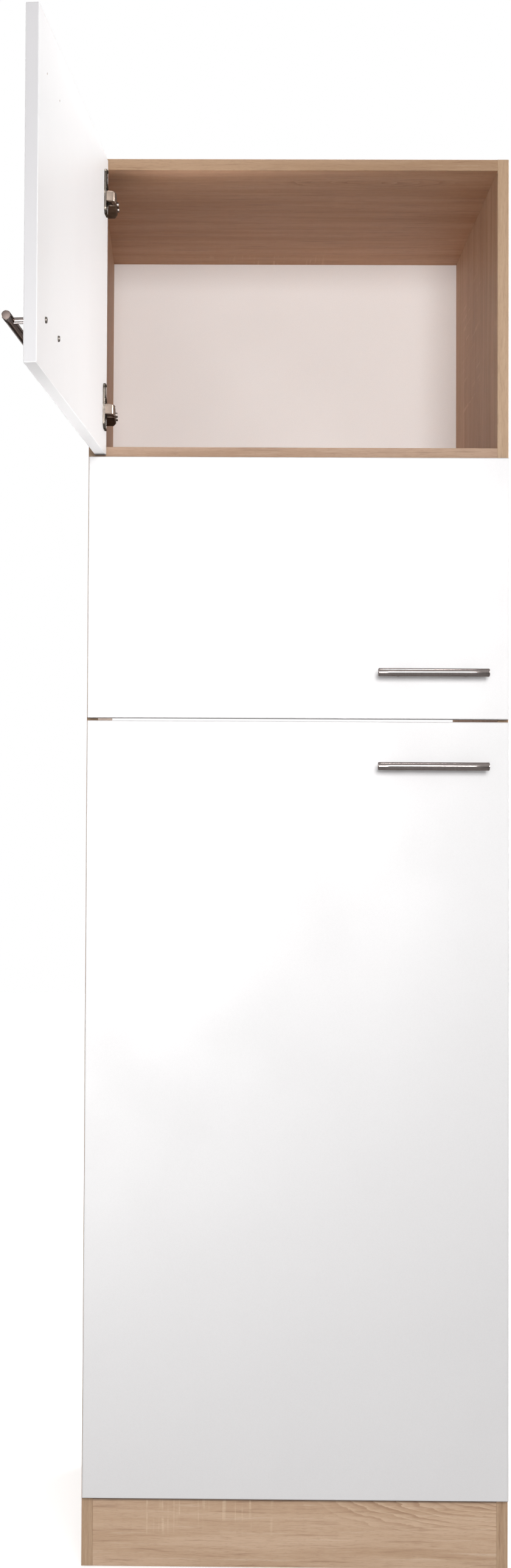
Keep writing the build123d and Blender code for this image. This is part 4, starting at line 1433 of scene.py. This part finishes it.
@dataclass
class HingeArms:
    """Arms on the side panel: tapering folded channels with a lip and two necks for the pin."""

    heights: Sequence[float]
    base: float = -282.0 * MM
    front: float = -2.0 * MM
    taper_from: float = 49.0 * MM
    rear: float = 62.0 * MM
    depth: float = 19.0 * MM
    tail_depth: float = 16.0 * MM
    half_height: float = 7.5 * MM
    sheet: float = 1.2 * MM
    bend: float = 2.0 * MM
    lip_span: tuple[float, float] = (-273.0 * MM, -264.4 * MM)
    lip_height: float = 3.4 * MM
    lip_reach: tuple[float, float] = (-0.05 * MM, 1.3 * MM)
    lip_ease: float = 0.5 * MM
    neck_root: float = 8.0 * MM
    neck_half_width: float = 2.3 * MM
    neck_span: tuple[float, float] = (4.6 * MM, 6.0 * MM)
    neck_ease: float = 0.2 * MM

    def channel(self, height: float) -> Patch:
        """The arm's channel: full depth up to the taper, then falling evenly to the tail's.

        Args:
            height: Height of the hinge.

        Returns:
            The channel's patch.
        """
        even = np.linspace(self.front, self.taper_from, 6)
        y = np.concatenate([even, np.linspace(self.taper_from, self.rear, 4)[1:]])
        fall = np.clip((y - self.taper_from) / (self.rear - self.taper_from), 0.0, 1.0)
        share = 1.0 - fall * (1.0 - self.tail_depth / self.depth)
        spine = np.stack([np.full_like(y, self.base), y, np.full_like(y, height)], axis=1)
        ways = np.tile([1.0, 0.0, 0.0], (len(y), 1))
        section = channel_section(0.0, self.depth, self.half_height, self.sheet, self.bend)
        return fold(spine, ways, section, share)

    def patches(self, height: float) -> list[Patch]:
        """One arm: channel, lips turned across its front, and the necks with their eyes.

        Args:
            height: Height of the hinge.

        Returns:
            The five patches.
        """
        made = [self.channel(height)]
        pin = np.array(TRAVEL.arm_pin)
        for side in (-1.0, 1.0):
            low, high = sorted((side * self.half_height, side * (self.half_height - self.lip_height)))
            made.append(eased_bar(
                (self.lip_span[0], self.front + self.lip_reach[0], height + low),
                (self.lip_span[1], self.front + self.lip_reach[1], height + high), self.lip_ease,
            ))
            low, high = sorted(side * edge for edge in self.neck_span)
            root = np.array([pin[0], self.neck_root])
            made.append(slot_plate(
                root, pin, self.neck_half_width, height + low, height + high, self.neck_ease
            ))
        return made

    def build(self) -> None:
        """Makes all arms in place of their CAD node."""
        patches = [patch for height in self.heights for patch in self.patches(height)]
        arms = make_piece("hinge_arms_folded", patches, "carcass")
        arms.data.materials.append(PlatedSteel("arm_nickel", Coat.ARM_NICKEL).material())
        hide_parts("hinge_arms")


@dataclass
class Door:
    """A door with its handle and hinges."""

    name: str
    z_span: tuple[float, float]
    hinges: Sequence[float]
    handle: float
    pose: Pose
    # Height of the painted shadow line of the gap, if any.
    painted_gap_shadow: Optional[float] = None
    half_width: float = 298.5 * MM
    y_span: tuple[float, float] = (-26.0 * MM, -10.0 * MM)

    @property
    def body(self) -> str:
        """Body that the door moves with."""
        return f"{self.name}_door"

    def build(self) -> None:
        """Makes the door's pieces and dresses its nodes."""
        dress(f"{self.name}_door_panel", WhiteFront(
            f"{self.name}_white_front", (-self.half_width, self.half_width), self.y_span, self.z_span,
            self.pose, painted_gap_shadow=self.painted_gap_shadow,
        ))
        BarHandle(self.name, self.body, self.handle, self.pose).build()
        CupRims(self.name, self.body, self.hinges, self.pose).build()
        HingeLinks(self.name, self.hinges, self.pose).build()
        LOG.info("%s door dressed", self.name)


# ------------------------------------------------------------------------------------------ studio


@dataclass(frozen=True)
class Softbox:
    """A flat soft lamp that faces the unit's middle unless told otherwise."""

    name: str
    place: tuple[float, float, float]
    width: float
    height: float
    power: float
    aim: tuple[float, float, float] = (0.0, 0.0, 1.15)
    spread: float = 180.0
    gloss_only: bool = False


@dataclass
class Studio:
    """Floor, lamps, background and camera."""

    floor_reach: float = 14.0
    floor_drop: float = 0.4 * MM
    floor_paper: Colour = (0.62, 0.62, 0.62, 1.0)
    glow_from: float = 0.4
    glow_to: float = 2.2
    glow_near: float = 0.60
    camera_place: tuple[float, float, float] = (-0.14648, -3.20912, 0.98701)
    right: tuple[float, float, float] = (0.999922, 0.011117, 0.005697)
    forward: tuple[float, float, float] = (-0.011294, 0.999421, 0.032094)
    up: tuple[float, float, float] = (-0.005337, -0.032156, 0.999469)
    lens: float = 51.677
    sensor: float = 36.0
    clip: tuple[float, float] = (0.05, 100.0)
    shift: tuple[float, float] = (0.05534, 0.00541)
    ambient: float = 0.12
    lamps: tuple[Softbox, ...] = (
        Softbox("high_key", (0.0, -4.0, 3.0), 3.0, 2.2, 12.0),
        Softbox("front_fill", (0.25, -4.5, 1.80), 1.2, 1.2, 142.0),
        Softbox("left_gloss", (-0.90, -3.1, 0.90), 1.3, 1.5, 100.0, gloss_only=True),
        Softbox("right_side", (3.0, -0.12, 1.85), 0.2, 1.4, 10.5, (-0.3, -0.3, 1.75), 50.0),
        Softbox("left_side", (-3.4, 0.2, 1.8), 1.6, 1.6, 50.0),
        Softbox("rear", (2.4, 3.4, 1.8), 1.6, 1.6, 90.0),
        Softbox("overhead", (0.0, 0.3, 3.7), 1.0, 1.0, 6.0, (0.0, 0.3, 2.0), 50.0),
        Softbox("low_left", (-0.62, -0.30, 0.06), 0.5, 0.5, 1.8, (-0.50, -0.30, 1.57), 35.0),
    )

    def build(self) -> None:
        """Makes the whole studio."""
        self.world()
        self.floor()
        for softbox in self.lamps:
            self.lamp(softbox)
        self.camera()

    def world(self) -> None:
        """White background for the eye and in reflections, and a plain soft light otherwise."""
        world = bpy.data.worlds.new("studio_white")
        world.use_nodes = True
        world.node_tree.nodes.clear()
        bench = Bench(world.node_tree)
        path = bench.node("LightPath")
        seen = bench.math("MAXIMUM", path.outputs["Is Camera Ray"], path.outputs["Is Glossy Ray"])
        seen = bench.math("MAXIMUM", seen, path.outputs["Is Transmission Ray"])
        strength = bench.plus(bench.times(seen, 1.0 - self.ambient), self.ambient)
        light = bench.node("Background", {"Color": (1.0, 1.0, 1.0, 1.0), "Strength": strength})
        bench.plug(bench.node("OutputWorld").inputs["Surface"], light.outputs[0])
        bpy.context.scene.world = world

    def floor(self) -> None:
        """Pale floor that keeps the unit's shadow and fades to white further out."""
        r = self.floor_reach
        z = -self.floor_drop
        corners = np.array([[[-r, -r, z], [r, -r, z]], [[-r, r, z], [r, r, z]]])
        patch = grid_patch(corners, tube=False)
        mesh = bpy.data.meshes.new("studio_floor")
        mesh.from_pydata(patch.points, [], patch.faces)
        floor = bpy.data.objects.new("studio_floor", mesh)
        bpy.context.scene.collection.objects.link(floor)
        material = bpy.data.materials.new("floor_paper")
        material.use_nodes = True
        bench = Bench(material.node_tree)
        shader = material.node_tree.nodes["Principled BSDF"]
        shader.inputs["Base Color"].default_value = self.floor_paper
        shader.inputs["Roughness"].default_value = 0.9
        shader.inputs["Specular IOR Level"].default_value = 0.1
        place = bench.node("TexCoord").outputs["Object"]
        away = bench.node("VectorMath", {0: place}, operation="LENGTH").outputs["Value"]
        seen = bench.node("LightPath").outputs["Is Camera Ray"]
        glow = bench.times(seen, bench.ramp(away, self.glow_from, self.glow_to, self.glow_near, 1.0))
        shader.inputs["Emission Color"].default_value = (1.0, 1.0, 1.0, 1.0)
        bench.plug(shader.inputs["Emission Strength"], glow)
        floor.data.materials.append(material)

    def lamp(self, softbox: Softbox) -> None:
        """Hangs one lamp and points it where it aims.

        Args:
            softbox: Lamp to hang.
        """
        data = bpy.data.lights.new(softbox.name, "AREA")
        data.shape = "RECTANGLE"
        data.size, data.size_y = softbox.width, softbox.height
        data.energy = softbox.power
        data.spread = math.radians(softbox.spread)
        lamp = bpy.data.objects.new(softbox.name, data)
        bpy.context.scene.collection.objects.link(lamp)
        lamp.location = softbox.place
        aim = Vector(softbox.aim) - Vector(softbox.place)
        lamp.rotation_euler = aim.to_track_quat("-Z", "Y").to_euler()
        lamp.visible_camera = False
        lamp.visible_diffuse = not softbox.gloss_only

    def camera(self) -> None:
        """Camera at the place and angle found from the photograph's lines."""
        data = bpy.data.cameras.new("photo_camera")
        data.sensor_width = self.sensor
        data.lens = self.lens
        data.shift_x, data.shift_y = self.shift
        data.clip_start, data.clip_end = self.clip
        camera = bpy.data.objects.new("photo_camera", data)
        bpy.context.scene.collection.objects.link(camera)
        matrix = np.eye(4)
        matrix[:3, :3] = np.stack([self.right, self.up, -np.array(self.forward)], axis=1)
        matrix[:3, 3] = self.camera_place
        camera.matrix_world = Matrix(matrix.tolist())
        bpy.context.scene.camera = camera


# The middle and bottom doors end with the height of their painted gap-shadow line.
DOORS = (
    Door("top", (1571.0 * MM, 1996.0 * MM), (1635.0 * MM, 1941.0 * MM), 1635.0 * MM, Pose.DOOR_OPEN),
    Door("middle", (1195.0 * MM, 1567.0 * MM), (1259.0 * MM, 1503.0 * MM), 1259.0 * MM, Pose.CLOSED,
         1567.0 * MM),
    Door("bottom", (99.0 * MM, 1191.0 * MM), (195.0 * MM, 645.0 * MM, 1095.0 * MM), 1127.0 * MM, Pose.CLOSED,
         99.0 * MM),
)


def main() -> None:
    """Builds the unit's looks, then the studio."""
    logging.basicConfig(level=logging.INFO, format="%(name)s: %(message)s")
    Carcass().dress()
    HingeArms([height for door in DOORS for height in door.hinges]).build()
    for door in DOORS:
        door.build()
    Studio().build()
    bpy.context.scene.view_settings.view_transform = "Standard"


if __name__ == "__main__":
    main()
